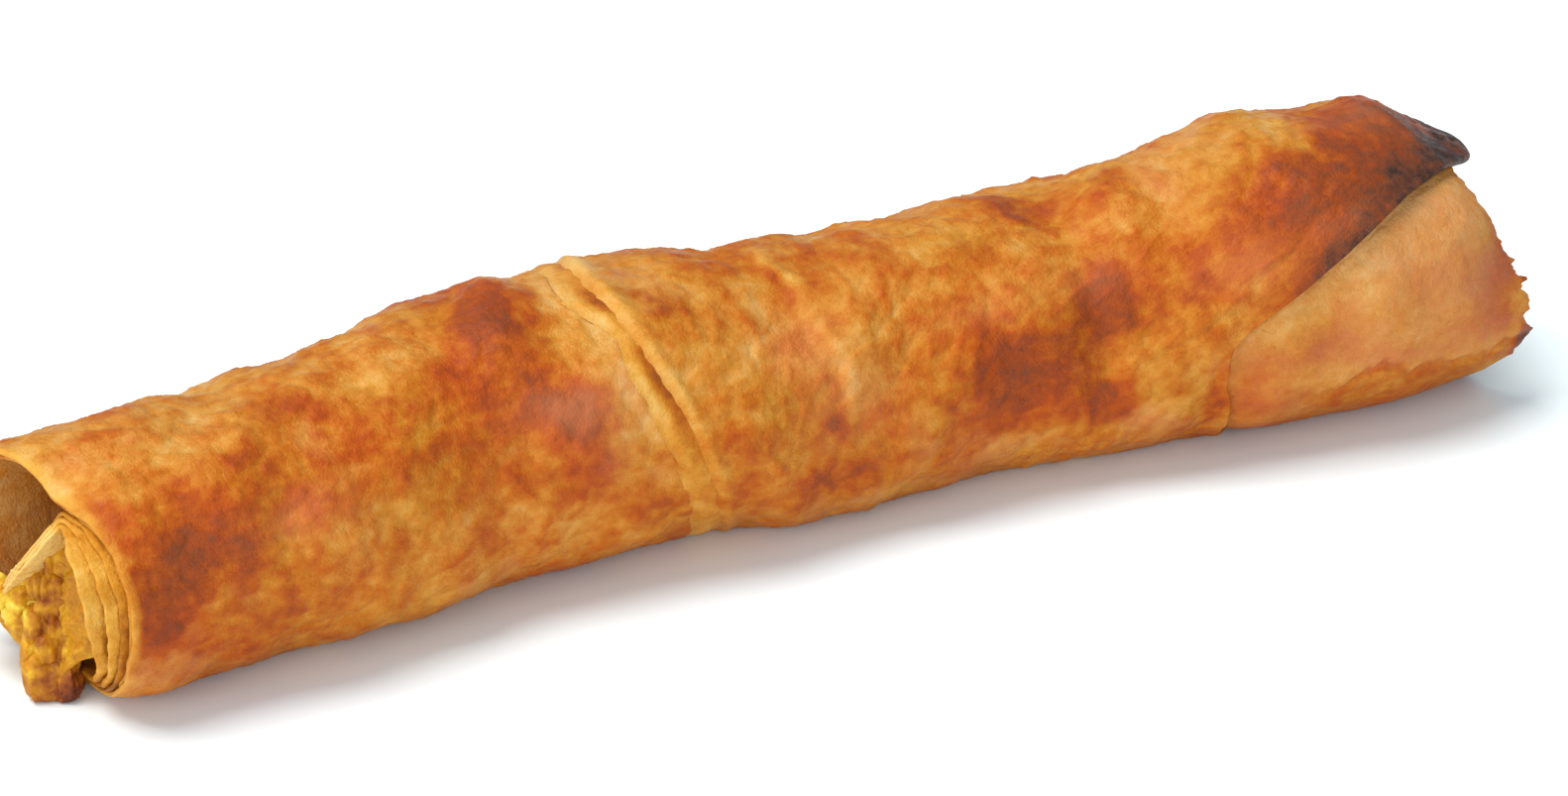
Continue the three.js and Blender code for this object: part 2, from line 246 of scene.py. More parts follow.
# %% [markdown]
# ## Grain
# Baked dough is never smooth: it has soft puffs, creases that run along the sheet, and small blisters.
# All of them come from one gradient noise on a lattice that closes round the roll, so that no seam shows.
# Folding that noise at zero gives sharp creases, and random domes on a jittered lattice give blisters.

# %% Noise that closes round the roll
TABLE = 97            # random values along x before they repeat


def gradient_noise(u, v, around, seed):
    """Smooth noise from about -1 to 1. Each lattice point has a random direction, a point takes the
    dot product with each of its four corners, and 6t^5 - 15t^4 + 10t^3 blends them. v closes after
    `around` cells."""
    angle = np.random.default_rng(seed).uniform(0, TAU, (TABLE, around))
    i, j = np.floor(u).astype(int), np.floor(v).astype(int)
    s, t = u - i, v - j

    def corner(a, b):
        way = angle[(i + a) % TABLE, (j + b) % around]
        return np.cos(way) * (s - a) + np.sin(way) * (t - b)

    def fade(w):
        return w ** 3 * (w * (6 * w - 15) + 10)

    low = lerp(corner(0, 0), corner(1, 0), fade(s))
    high = lerp(corner(0, 1), corner(1, 1), fade(s))
    return 1.6 * lerp(low, high, fade(t))


def grain(x, turn, size, seed, long=1.0, octaves=1):
    """Noise with cells of a size in millimetres, drawn out along x by `long`. Each further octave
    is half as big and half as strong."""
    x, turn = np.broadcast_arrays(x, turn)
    total = 0
    for k in range(octaves):
        cells = max(3, round(AROUND / size * 2 ** k))
        along = x * 2 ** k / (size * long) + 0.37 * k
        total = total + gradient_noise(along, np.mod(turn / TAU, 1) * cells, cells, seed + 31 * k) / 2 ** k
    return total


def blisters(x, turn, size, share, seed):
    """Domes (1 - (d/r)^2)^2 round a random point of each cell, in a share of the cells. The highest
    of the nine nearest cells counts."""
    x, turn = np.broadcast_arrays(x, turn)
    cells = round(AROUND / size)
    random = np.random.default_rng(seed).uniform(0, 1, (5, TABLE, cells))
    u, v = x / size, np.mod(turn / TAU, 1) * cells
    i, j = np.floor(u).astype(int), np.floor(v).astype(int)
    highest = np.zeros(u.shape)
    for a in (-1, 0, 1):
        for b in (-1, 0, 1):
            du, dv, radius, height, kept = random[:, (i + a) % TABLE, (j + b) % cells]
            away = np.hypot(u - (i + a + 0.15 + 0.7 * du), v - (j + b + 0.15 + 0.7 * dv))
            dome = np.clip(1 - (away / (0.25 + 0.4 * radius)) ** 2, 0, 1) ** 2
            highest = np.maximum(highest, dome * (0.35 + 0.65 * height) * (kept < share))
    return highest


def crust_relief(x, turn, seed):
    """Fine relief of a baked sheet in millimetres: puffs, creases along the sheet, blisters."""
    bent = x + 2.5 * grain(x, turn, 22, seed + 5)
    puffs = 0.27 * grain(bent, turn, 11, seed, octaves=2)
    creases = -0.36 * (1 - np.abs(grain(bent, turn, 7, seed + 1, long=1.7))) ** 5
    folds = 0.23 * (1 - np.abs(grain(bent, turn, 4.4, seed + 6, long=1.4))) ** 6
    fine = 0.13 * grain(x, turn, 2.4, seed + 2, octaves=2)
    raised = 0.36 * blisters(bent, turn, 5.5, 0.5, seed + 3) + 0.20 * blisters(x, turn, 2.4, 0.45, seed + 4)
    return (puffs + creases + folds + fine + raised - 0.1) * (0.25 + 0.75 * off_underside(turn))


trial = crust_relief(np.linspace(-120, 120, 400)[None], np.linspace(0, TAU, 200)[:, None], 1)
print("relief from", trial.min().round(2), "to", trial.max().round(2), "mm")

# %% [markdown]
# ## Where it browned
# The oven browns what stands up and what is thin, so the colour is a map of how strongly each place is
# toasted: 0 is pale dough, 1 is charcoal. The lists name the browned and pale patches that the real roll
# has on its seen side, and pinkish patches of painted sheen, as place along x, turn, half length, half
# spread and strength. They are listed one by one and corrected against the photograph. Noise mottles the
# rest, on the far side too. The value goes to the mesh as an attribute and the crust's finish turns it into
# colour.

# %% Browned and pale patches
TOASTED = [
    (-104, 6, 8, 27, 0.15), (-99, 22, 6, 12, 0.16), (-107, -10, 4, 12, 0.08), (-88, 28, 9, 12, 0.14),
    (-86, 10, 9, 8, 0.14), (-110, 47, 3, 7, 0.18), (-86, 55, 5, 5, 0.12), (-95, 42, 10, 7, 0.10),
    (-107, 84, 4, 9, 0.12), (-78, 75, 4.5, 9, 0.15), (-90, -20, 12, 10, 0.10), (-97, -30, 10, 9, 0.06),
    (-68, 26, 11, 9, 0.12), (-64, 50, 14, 9, 0.10), (-76, 40, 8, 7, 0.08), (-52, 14, 7, 7, 0.14),
    (-43, 88, 6, 16, 0.24), (-43, 76, 4, 7, 0.16), (-41, 68, 5, 6, 0.08), (-43, 48, 7, 7, 0.12),
    (-50, 60, 6, 8, 0.06), (-34, 22, 3, 8, 0.24), (-35, 6, 4, 8, 0.24), (-40, 34, 7, 7, 0.24),
    (-33, 33, 4, 7, 0.26), (-108.5, 0, 2.6, 26, 0.10), (-52, 30, 8, 8, 0.12), (-45, -30, 18, 10, 0.02),
    (-22, -20, 5, 9, 0.16), (-30, -8, 7, 8, 0.12), (-11, -18, 4, 10, 0.24), (-8, 8, 8, 16, 0.14),
    (-20, 73, 3, 5, 0.2), (-14, 62, 5, 8, 0.08), (2, 84, 4, 6, 0.06), (3, 44, 5, 10, 0.06),
    (1, 14, 5, 10, 0.12), (7, 8, 1.8, 3.5, 0.42), (4, -22, 4, 7, 0.14), (20, 8, 6, 10, 0.12),
    (24, 24, 6, 8, 0.10), (14, -18, 10, 8, 0.08), (12, 82, 4, 6, 0.04), (21, 80, 4, 6, 0.12),
    (35, 62, 5, 6, 0.18), (47, 86, 5, 10, 0.16), (36, 22, 6, 8, 0.16), (36, 10, 7, 8, 0.14),
    (37, -8, 8, 8, 0.24), (44, 18, 5, 9, 0.06), (53, 31, 4, 7, 0.36), (55, 46, 6, 8, 0.16),
    (51, 62, 5, 5, 0.14), (52, -8, 1.8, 14, 0.22), (64, 84, 5, 8, 0.14), (64, 54, 4, 6, 0.10),
    (66, 46, 4, 5, 0.14), (68, 32, 2.5, 9, 0.22), (88, 62, 4, 7, 0.32), (92, 48, 5, 6, 0.16),
    (80, 52, 8, 8, 0.14), (84, 72, 7, 6, 0.08), (97, 76, 4, 5, 0.26), (99, 96, 5, 12, 0.14),
    (104, 58, 6, 7, 0.12), (112, 84, 10, 12, 0.18), (104, 92, 5, 6, 0.16), (71, -20, 1.6, 14, 0.24),
    (60, 20, 3, 10, 0.06), (-102, -2, 7, 20, 0.04), (-90, 78, 9, 14, 0.06), (-73.5, 65, 4, 6, 0.10),
    (-80, 32, 6, 6, 0.10), (-46, 80, 5, 16, 0.08), (-41, 80, 3, 6, 0.12), (-50, -14, 3, 12, 0.14),
    (44, 4, 3.5, 5, 0.18), (34, -16, 5, 6, 0.12), (56, 33, 3.5, 7, 0.14), (61, -2, 3.5, 10, 0.14),
    (3.5, 72, 2.2, 7, 0.16), (-101, 18, 7, 14, 0.08), (-103, 55, 8, 5, 0.08), (-87, 54, 4, 5, 0.12),
    (-84, -8, 8, 9, 0.10), (-57, -4, 7, 6, 0.12), (-43, 78, 4, 8, 0.12), (-30, 50, 3, 6, 0.14),
    (-23, -20, 5, 7, 0.10), (-82, 86, 4, 8, 0.07), (-65, 82, 12, 8, 0.06), (54, 27, 3, 7, 0.20),
    (52, -12, 2.2, 12, 0.14), (36, -2, 7, 8, 0.10), (37, 20, 6, 8, 0.06), (4, -14, 4, 9, 0.10),
    (48, 94, 4, 10, 0.10), (100, 58, 8, 9, 0.16), (104, 74, 7, 9, 0.18), (93, 50, 7, 8, 0.14),
    (84, 46, 9, 10, 0.10), (98, 70, 4, 7, 0.12), (74, 60, 10, 14, 0.07), (38, 8, 8, 17, 0.12),
    (34, 34, 6, 7, 0.08), (-96, 30, 9, 10, 0.08), (54, 40, 3, 8, 0.10), (108, 70, 6, 10, 0.10),
]
PALE = [
    (-92, 88, 12, 16, 0.12), (-62, 74, 7, 8, 0.12), (-52, -3, 8, 8, 0.10), (-6, 68, 10, 12, 0.06),
    (42, 62, 2.5, 4, 0.18), (40, 88, 6, 8, 0.06), (72, 90, 8, 14, 0.14), (90, 86, 5, 9, 0.13),
    (60, 2, 6, 12, 0.10), (-30, 46, 4, 18, 0.12), (-27, 18, 4, 14, 0.10), (-32, 90, 3, 16, 0.10),
    (8, 88, 6, 8, 0.06), (14, 38, 7, 10, 0.06), (48.5, 30, 1.8, 12, 0.14), (4, 36, 5, 16, 0.10),
    (-108, 80, 8, 16, 0.12), (62, 50, 4, 9, 0.10), (-70, -14, 6, 8, 0.04),
]
SHEEN_PATCHES = [  # pinkish patches of painted sheen, where the glossy crust reflects white light
    (-81, 26, 7, 9, 0.8), (-30, 20, 4, 16, 0.9), (-37, 34, 7, 8, 0.9), (-24, 38, 3, 12, 0.9),
    (3, 42, 6, 12, 0.8), (9, 16, 6, 14, 0.7), (78, 34, 7, 8, 0.9), (52, 44, 6, 8, 0.5),
    (104, 90, 8, 8, 0.7), (94, 42, 6, 6, 0.8), (34, 40, 8, 6, 0.5),
]
INNER_BROWNING_AND_PAINTED_LIGHT = [  # the same for the paler inner sheet under the flap; the two rows of negative strength are painted light where the raised flap's shadow falls
    (86, -3, 5, 7.5, 0.32), (109, 2, 9, 18, 0.09), (117, 14, 4, 12, 0.20), (119, -6, 5, 8, 0.24),
    (75, -20, 3.5, 18, 0.28), (122, 24, 3.5, 14, 0.20), (103, -14, 6, 5, 0.10), (108, 22, 6, 12, 0.06),
    (86, -10, 7, 10, 0.10), (108, 50, 12, 10, -0.16), (96, 30, 10, 10, -0.10), (82, -30, 6, 8, 0.24),
    (121, 10, 3, 24, 0.16),
]
INNER_BLUSHED = [
    (86, -3, 5, 7, 0.4), (115, 14, 5, 10, 1.0), (118, -8, 5, 8, 0.9), (100, -16, 12, 6, 0.5),
    (106, 20, 9, 14, 0.6), (88, -8, 8, 9, 0.5), (98, 40, 8, 8, 0.4),
]
CRACK = [  # [place along x, turn]
    (84, -34), (92, -29), (95, -22), (97.5, -17), (103.5, -28), (108, -26), (113, -27), (118, -23),
    (124, -16),
]


def below_crack(x, turn):
    """Degrees below the jagged line where the inner sheet cracked and browned."""
    line = np.interp(x, [at for at, _ in CRACK], [up for _, up in CRACK])
    return line + 2.5 * grain(x, 0 * turn, 2.5, 91, octaves=2) - degrees_from(0, turn)


def patches(table, x, turn):
    """Sum of soft-edged patches: strength * bell of the distance along x * bell of the turn."""
    edge = 1.6 * grain(x, turn, 6, 90, octaves=2)
    return sum(power * bell((x + edge - at) / (1.15 * length)) * near(turn, centre, 1.15 * spread)
               for at, centre, length, spread, power in table)


def mottling(x, turn, seed):
    """Browning that has no place of its own: wide and fine noise, more of it on the unseen far side."""
    unseen = smoothstep((np.abs(degrees_from(30, turn)) - 75) / 30)
    wide = grain(x, turn, 15, seed, long=1.3, octaves=3)
    return (0.11 + 0.12 * unseen) * wide + 0.10 * grain(x, turn, 3.6, seed + 7, octaves=2)


TOASTED_BASE, TOASTED_UNDER = 0.425, 0.54
PALEST, DARKEST = 0.03, 0.74


def toasted(x, turn, seed):
    """How strongly the outer sheets are browned, from 0 to 1. The underside is darker and even."""
    under = near(turn, -90, 42)
    value = (TOASTED_BASE + 1.2 * patches(TOASTED, x, turn) - 1.2 * patches(PALE, x, turn)
             + mottling(x, turn, seed) + 0.22 * (crust_relief(x, turn, seed) - 0.1))
    return np.clip(lerp(value, TOASTED_UNDER + 0.5 * mottling(x, turn, seed), 0.8 * under), PALEST, DARKEST)


# %% [markdown]
# ## Finishes
# Shader maths is written as Python: a Level wraps one socket, and + - * / on it add Math nodes.
# A Finish holds one material and adds any other node by type, settings and sockets. Only Base Color,
# Roughness, Normal and the like vary over a surface. What is constant is set on the shader directly.

# %% Shader helpers
class Level:
    """A number that varies over a surface. Arithmetic on it adds Math nodes."""

    def __init__(self, finish, socket):
        self.finish, self.socket = finish, socket

    def __add__(self, other):
        return self.finish.math("ADD", self, other)

    def __sub__(self, other):
        return self.finish.math("SUBTRACT", self, other)

    def __mul__(self, other):
        return self.finish.math("MULTIPLY", self, other)

    def __truediv__(self, other):
        return self.finish.math("DIVIDE", self, other)

    def __rsub__(self, other):
        return self.finish.math("SUBTRACT", other, self)

    def __rtruediv__(self, other):
        return self.finish.math("DIVIDE", other, self)

    __radd__, __rmul__ = __add__, __mul__

    def clamped(self, low=0.0, high=1.0):
        return self.finish.math("MINIMUM", self.finish.math("MAXIMUM", self, low), high)


class Finish:
    """One procedural material, built from its shader outwards."""

    def __init__(self, name, **constants):
        self.material = bpy.data.materials.new(name)
        self.material.use_nodes = True
        self.tree = self.material.node_tree
        self.shader = self.tree.nodes["Principled BSDF"]
        for socket, value in constants.items():
            self.shader.inputs[socket.replace("_", " ")].default_value = value

    def node(self, kind, settings=None, sockets=None, output=0):
        """Adds a node of a type: its settings first, then the values or links of its sockets."""
        made = self.tree.nodes.new("ShaderNode" + kind)
        for key, value in (settings or {}).items():
            if key == "stops":
                ramp = made.color_ramp.elements
                while len(ramp) < len(value):
                    ramp.new(0.5)
                for stop, (place, colour) in zip(ramp, value):
                    stop.position, stop.color = place, (*colour, 1)
            else:
                setattr(made, key, value)
        for key, value in (sockets or {}).items():
            self.link(value, made.inputs[key])
        return Level(self, made.outputs[output])

    def link(self, value, socket):
        if isinstance(value, Level):
            self.tree.links.new(value.socket, socket)
        else:
            socket.default_value = value

    def math(self, operation, a, b):
        return self.node("Math", {"operation": operation}, {0: a, 1: b})

    def attribute(self, name):
        return self.node("Attribute", {"attribute_name": name}, output="Fac")

    def noise(self, scale, detail, roughness):
        """Noise on Object coordinates, `scale` cells to the metre, minus a half."""
        place = self.node("TexCoord", output="Object")
        return self.node("TexNoise", {"noise_dimensions": "3D"},
                         {"Vector": place, "Scale": scale, "Detail": detail, "Roughness": roughness}) - 0.5

    def mix(self, share, first, second):
        """A colour a share of the way from the first to the second."""
        return self.node("Mix", {"data_type": "RGBA"}, {0: share, 6: first, 7: second}, output=2)

    def ramp(self, level, stops):
        return self.node("ValToRGB", {"stops": stops}, {0: level})

    def bump(self, height, strength, distance):
        return self.node("Bump", None, {"Strength": strength, "Distance": distance, "Height": height})

    def surface(self, **sockets):
        for key, value in sockets.items():
            self.link(value, self.shader.inputs[key.replace("_", " ")])
        return self.material


# %% [markdown]
# ### Baked dough
# One finish serves every sheet. The toast attribute picks a colour on a scale that runs from cream
# through gold, orange and red-brown to char. Fine noise shifts it, so that no patch is flat. Fat leaves
# some places glossy and others dry, and a fine bump gives the surface its tooth.

# %% Finish of the dough
CHAR = [(0.92, (0.120, 0.0360, 0.0180)), (1.00, (0.0480, 0.0200, 0.0140))]
TOAST_SCALE = [
    (0.00, (0.669, 0.399, 0.147)), (0.15, (0.620, 0.290, 0.0675)), (0.30, (0.550, 0.195, 0.0234)),
    (0.45, (0.470, 0.112, 0.0070)), (0.60, (0.395, 0.0610, 0.0045)), (0.74, (0.275, 0.0420, 0.0070)),
    (0.84, (0.190, 0.0430, 0.0140)), *CHAR,
]
OCHRE_SCALE = [
    (0.00, (0.669, 0.412, 0.153)), (0.15, (0.620, 0.315, 0.0747)), (0.30, (0.550, 0.228, 0.0261)),
    (0.45, (0.462, 0.151, 0.0090)), (0.60, (0.380, 0.0800, 0.0050)), (0.74, (0.270, 0.0510, 0.0080)),
    (0.84, (0.190, 0.0450, 0.0140)), *CHAR,
]
RAW_SCALE = [
    (0.00, (0.730, 0.454, 0.135)), (0.25, (0.669, 0.328, 0.0486)), (0.50, (0.537, 0.210, 0.0144)),
    (0.75, (0.352, 0.109, 0.0063)), (1.00, (0.167, 0.0487, 0.0063)),
]


def dough_finish():
    dough = Finish("baked_dough", Subsurface_Weight=0.06, Subsurface_Radius=(1.0, 0.45, 0.2),
                   Subsurface_Scale=0.0012, Specular_IOR_Level=0.12)
    mottle = dough.noise(140, 4, 0.6)
    speckle = dough.noise(620, 3, 0.6)
    fine = dough.noise(2400, 2, 0.5)
    toast = dough.attribute("toast")
    level = (toast + mottle * 0.34 + speckle * 0.36 + fine * 0.12).clamped()
    ochre = (dough.noise(75, 3, 0.5) * 3.0 + 0.30).clamped(0, 0.8)
    colour = dough.mix(ochre, dough.ramp(level, TOAST_SCALE), dough.ramp(level, OCHRE_SCALE))
    dusty = (dough.noise(42, 3, 0.6) * 3.2 + 0.22 - toast).clamped(0, 0.42)
    colour = dough.mix(dusty, colour, (0.560, 0.215, 0.072, 1))
    # This mixes in a pinkish tone: painted sheen on the outer crust, and the dough's own blush on the inner
    # sheet.
    blush = (dough.attribute("blush") * (0.8 + mottle * 2.0)).clamped()
    colour = dough.mix(blush * 0.55, colour, (0.53, 0.160, 0.062, 1))
    colour = dough.mix(dough.attribute("raw"), colour, dough.ramp(level, RAW_SCALE))
    roughness = (0.52 + dough.noise(230, 2, 0.5) * 0.6 - toast * 0.08).clamped(0.3, 0.8)
    height = speckle * 0.7 + fine * 0.35 + dough.noise(1100, 3, 0.6) * 0.5
    return dough.surface(Base_Color=colour, Roughness=roughness, Normal=dough.bump(height, 0.6, 0.0007))


dough_material = dough_finish()
print("dough finish has", len(dough_material.node_tree.nodes), "nodes")

# %% [markdown]
# ### Filling
# The filling is soft and moist, yellow where it is fresh and orange-brown where it baked onto the tray.
# Its toast attribute runs over a yellower scale, and light goes deeper into it than into the crust.

# %% Finish of the filling
FILLING_SCALE = [
    (0.00, (0.800, 0.610, 0.080)), (0.22, (0.650, 0.350, 0.018)), (0.40, (0.500, 0.205, 0.006)),
    (0.58, (0.370, 0.122, 0.005)), (0.78, (0.235, 0.048, 0.005)), (1.00, (0.083, 0.016, 0.006)),
]


def filling_finish():
    soft = Finish("moist_filling", Subsurface_Weight=0.22, Subsurface_Radius=(1.0, 0.6, 0.2),
                  Subsurface_Scale=0.0016, Specular_IOR_Level=0.2)
    curds = soft.noise(420, 3, 0.6)
    fine = soft.noise(1600, 2, 0.5)
    level = soft.attribute("toast") + curds * 0.55 + fine * 0.25
    colour = soft.ramp(level.clamped(), FILLING_SCALE)
    roughness = (0.46 + soft.noise(300, 2, 0.5) * 0.4).clamped(0.3, 0.75)
    return soft.surface(Base_Color=colour, Roughness=roughness,
                        Normal=soft.bump(curds + fine * 0.4, 0.6, 0.0006))


filling_material = filling_finish()

# %% [markdown]
# ## How a sheet becomes a mesh
# A sheet of dough has two faces and rounded edges. Its profile runs along the outer face, round a
# half-circle nose, back along the inner face and round a second nose. Carried once round the roll it
# closes on itself both ways, like a ring, so there is no seam, pole or open edge anywhere.

# %% Meshes from closed grids
def mesh_piece(name, points, faces, attributes, material):
    """Puts arrays into a mesh object in metres. Its faces are turned outwards if they enclose a
    negative volume, the sum of a . (b x c) / 6 over their triangles."""
    points = (points.reshape(-1, 3) + SHIFT) / 1000
    quads, threes = faces
    a, b, c, d = (points[quads[:, k]] for k in range(4))
    volume = np.sum(a * np.cross(b, c)) + np.sum(a * np.cross(c, d))
    if len(threes):
        volume += np.sum(points[threes[:, 0]] * np.cross(points[threes[:, 1]], points[threes[:, 2]]))
    if volume < 0:
        quads, threes = quads[:, ::-1], threes[:, ::-1]
    mesh = bpy.data.meshes.new(name)
    mesh.vertices.add(len(points))
    mesh.vertices.foreach_set("co", points.astype(np.float32).ravel())
    corners = np.concatenate([quads.ravel(), threes.ravel()])
    starts = np.concatenate([4 * np.arange(len(quads)), 4 * len(quads) + 3 * np.arange(len(threes))])
    mesh.loops.add(len(corners))
    mesh.loops.foreach_set("vertex_index", corners.astype(np.int32))
    mesh.polygons.add(len(starts))
    mesh.polygons.foreach_set("loop_start", starts.astype(np.int32))
    mesh.polygons.foreach_set("use_smooth", np.ones(len(starts), bool))
    mesh.update(calc_edges=True)
    for key, value in attributes.items():
        layer = mesh.attributes.new(key, "FLOAT", "POINT")
        layer.data.foreach_set("value", (np.zeros(len(points)) + np.ravel(value)).astype(np.float32))
    mesh.materials.append(material)
    piece = add(name, mesh)
    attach(piece, "root")
    print(f"{name}: {2 * len(quads) + len(threes)} triangles, {abs(volume) / 6 * 1e6:.1f} cm3")
    return piece


def grid_faces(n, m, gaps):
    """Four-sided faces in the first gaps between n rings of m points. The last ring's gap leads back
    to the first ring."""
    i, j = np.meshgrid(np.arange(gaps), np.arange(m), indexing="ij")
    ring, point = (i + 1) % n, (j + 1) % m
    return np.stack([i * m + j, i * m + point, ring * m + point, ring * m + j], -1).reshape(-1, 4)


def capped_faces(n, m):
    """Faces of a tube of n rings of m points, whose ends are fans round two hubs, the last points."""
    ring, after, end = np.arange(m), (np.arange(m) + 1) % m, (n - 1) * m
    fans = np.concatenate([np.stack([np.full(m, n * m), after, ring], -1),
                           np.stack([np.full(m, n * m + 1), end + ring, end + after], -1)])
    return grid_faces(n, m, n - 1), fans


def dough_sheet(name, points, toast, blush=0, raw=0):
    """A sheet from a grid of points that closes on itself both ways, so it needs no triangles."""
    n, m = points.shape[:2]
    return mesh_piece(name, points, (grid_faces(n, m, n), np.zeros((0, 3), int)),
                      {"toast": toast, "blush": blush, "raw": raw}, dough_material)


NOSE = 5              # points round a sheet's edge
INNER_STEP = 6        # an inner face keeps every sixth row, and all of the first and last six


def sheet_profile(x, reach, thick):
    """Profiles of a sheet from its outer face, given as arrays [turns, rows] of x and reach: outer
    face, nose, inner face on every sixth row and at both ends, nose. Returns x, reach and how deep
    each point lies in the sheet: 0 outside, 1 inside."""
    rows = x.shape[1]
    picked = np.unique(np.r_[0:INNER_STEP, 0:rows:INNER_STEP, rows - INNER_STEP:rows])[::-1]
    arc = np.pi * (np.arange(NOSE) + 1) / (NOSE + 1)

    def nose(column, side):
        t = thick[:, [column]]
        return x[:, [column]] + side * t / 2 * np.sin(arc), reach[:, [column]] - t / 2 * (1 - np.cos(arc))

    end, start = nose(-1, 1), nose(0, -1)
    xs = np.concatenate([x, end[0], x[:, picked], start[0][:, ::-1]], 1)
    reaches = np.concatenate([reach, end[1], (reach - thick)[:, picked], start[1][:, ::-1]], 1)
    inward, outward = (1 - np.cos(arc)) / 2, (1 + np.cos(arc)) / 2
    deep = np.concatenate([np.zeros(rows), inward, np.ones(len(picked)), outward])
    return xs, reaches, np.broadcast_to(deep, xs.shape)


def turns(count):
    """Evenly spaced turns once round the roll, as a column."""
    return (TAU * np.arange(count) / count)[:, None]


def rows_between(start, end, count):
    """Places along x from start to end for every turn."""
    return lerp(start, end, np.linspace(0, 1, count)[None])


# %% [markdown]
# ## The inner roll's skin, left of the wrap
# The outermost sheet at the left end is one wound sheet of dough about a millimetre thick. It starts at
# the slanted left mouth and runs under the collar. Where other sheets cover it, its relief fades out and
# it keeps below them, so that nothing pokes through.

# %% Edges of the wrap
COLLAR_AT, SLEEVE_AT = -21, -16.5     # middles of the two tilted edges
EDGE_TILT = 9                         # each leans this far to both sides
COLLAR_THICK, SLEEVE_THICK = 0.9, 1.1
WRAP = COLLAR_THICK + SLEEVE_THICK
STEP_RUN = 1.5                        # what lies under an edge gives way over this length
MOUTH_AT, MOUTH_SLANT = -117.7, 8.7   # the same for the left mouth
FLAP_EDGE = [  # [turn, place along x]
    (-180, 124), (-150, 119), (-120, 106), (-90, 88), (-60, 76), (-32, 73.5), (-10, 71.6), (2, 71.8),
    (9, 74.2), (24, 85.4), (49, 104.4), (67, 117.4), (78, 122.4), (120, 123.5), (180, 124),
]


def collar_edge(turn):
    """Left edge of the first wrapped sheet: a tilted circle that touches the second at one place."""
    return (COLLAR_AT - EDGE_TILT * np.sin(turn) + 2.0 * near(turn, 57, 9) - 0.8 * near(turn, 84, 12)
            + 0.9 * near(turn, 18, 30) + 0.45 * grain(0, turn, 9, 11, octaves=2))


def sleeve_edge(turn):
    """Left edge of the second wrapped sheet."""
    return (SLEEVE_AT - EDGE_TILT * np.sin(turn) + near(turn, 20, 26)
            + 0.35 * grain(40, turn, 9, 12, octaves=2))


def flap_edge(turn):
    """Right edge of the wrap: a slanted cut with a slightly frayed line."""
    return through(FLAP_EDGE, degrees_from(0, turn)) + 0.25 * grain(80, turn, 3.5, 13, octaves=2)


def left_rim(turn):
    """The left mouth lies on a slanted plane, with a notch underneath where the filling spills."""
    notch = 6.5 * near(turn, -90, 40) + 4.5 * near(turn, -138, 30)
    return MOUTH_AT + MOUTH_SLANT * np.cos(turn) + notch + 0.22 * grain(5, turn, 5, 14, octaves=2)


def under_wrap(x, turn):
    """How much dough of the wrap lies over the inner roll at a place, in millimetres."""
    first = smoothstep((x - collar_edge(turn)) / STEP_RUN) * COLLAR_THICK
    second = smoothstep((x - sleeve_edge(turn)) / STEP_RUN) * SLEEVE_THICK
    open_end = smoothstep((x - flap_edge(turn)) / 2.0)
    return (first + second) * (1 - open_end)


# %% Left skin
SKIN_THICK = 1.0


def left_skin(count=250, rows=236):
    """Skin of the inner roll from the left mouth to 8 mm under the collar."""
    turn = turns(count)
    x = rows_between(left_rim(turn), collar_edge(turn) + 8, rows)
    cover = under_wrap(x, turn)
    from_rim = x - left_rim(turn)
    relief = crust_relief(x, turn, 100) * smoothstep(1 - cover / 0.5) * (0.4 + 0.6 * smoothstep(from_rim / 4))
    ramp = 0.30 * bell((x - collar_edge(turn) - 0.2) / 1.6)
    reach = skin(x, turn) + np.minimum(relief, 0.8) - 0.12 * smoothstep(cover / 0.3) + ramp
    thick = SKIN_THICK + 0.12 * grain(x, turn, 8, 101)
    xs, reaches, deep = sheet_profile(x, reach, thick)
    points = put(xs, turn, reaches, under_wrap(xs, turn) + deep * SKIN_THICK)
    rim = smoothstep(1.1 - (xs - left_rim(turn)) / 1.3)
    pinched = bell((xs - left_rim(turn)) / 1.8) * near(turn, 76, 22)
    toast = lerp(toasted(xs, turn, 100), 0.36 + 0.14 * grain(xs, turn, 4, 103), 0.8 * rim) - 0.16 * pinched
    by_collar = 0.09 * bell((collar_edge(turn) - xs) / 3.0) * smoothstep((degrees_from(0, turn) + 10) / 30)
    toast = toast - by_collar
    toast = lerp(toast, 0.36 + 0.16 * grain(xs, turn, 6, 102), smoothstep(deep * 1.6))
    # Painted sheen: a pinkish haze on the outer face where the glossy crust reflects white light.
    blush = patches(SHEEN_PATCHES, xs, turn) * (1 - deep)
    return dough_sheet("left_skin", points, toast, blush, np.clip(0.3 * rim + 0.6 * pinched + deep, 0, 1))


left_skin_piece = left_skin()
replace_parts(left_skin_piece, "pastry")

# %% [markdown]
# ## Collar and sleeve
# Two more sheets are wrapped over the right half and a little more. The first, the collar, shows only as
# a narrow pale edge. The second, the sleeve, starts with a rolled bead and covers the roll up to the flap.
# Near the flap it thins, and its tip curls up off the roll, where it burned.

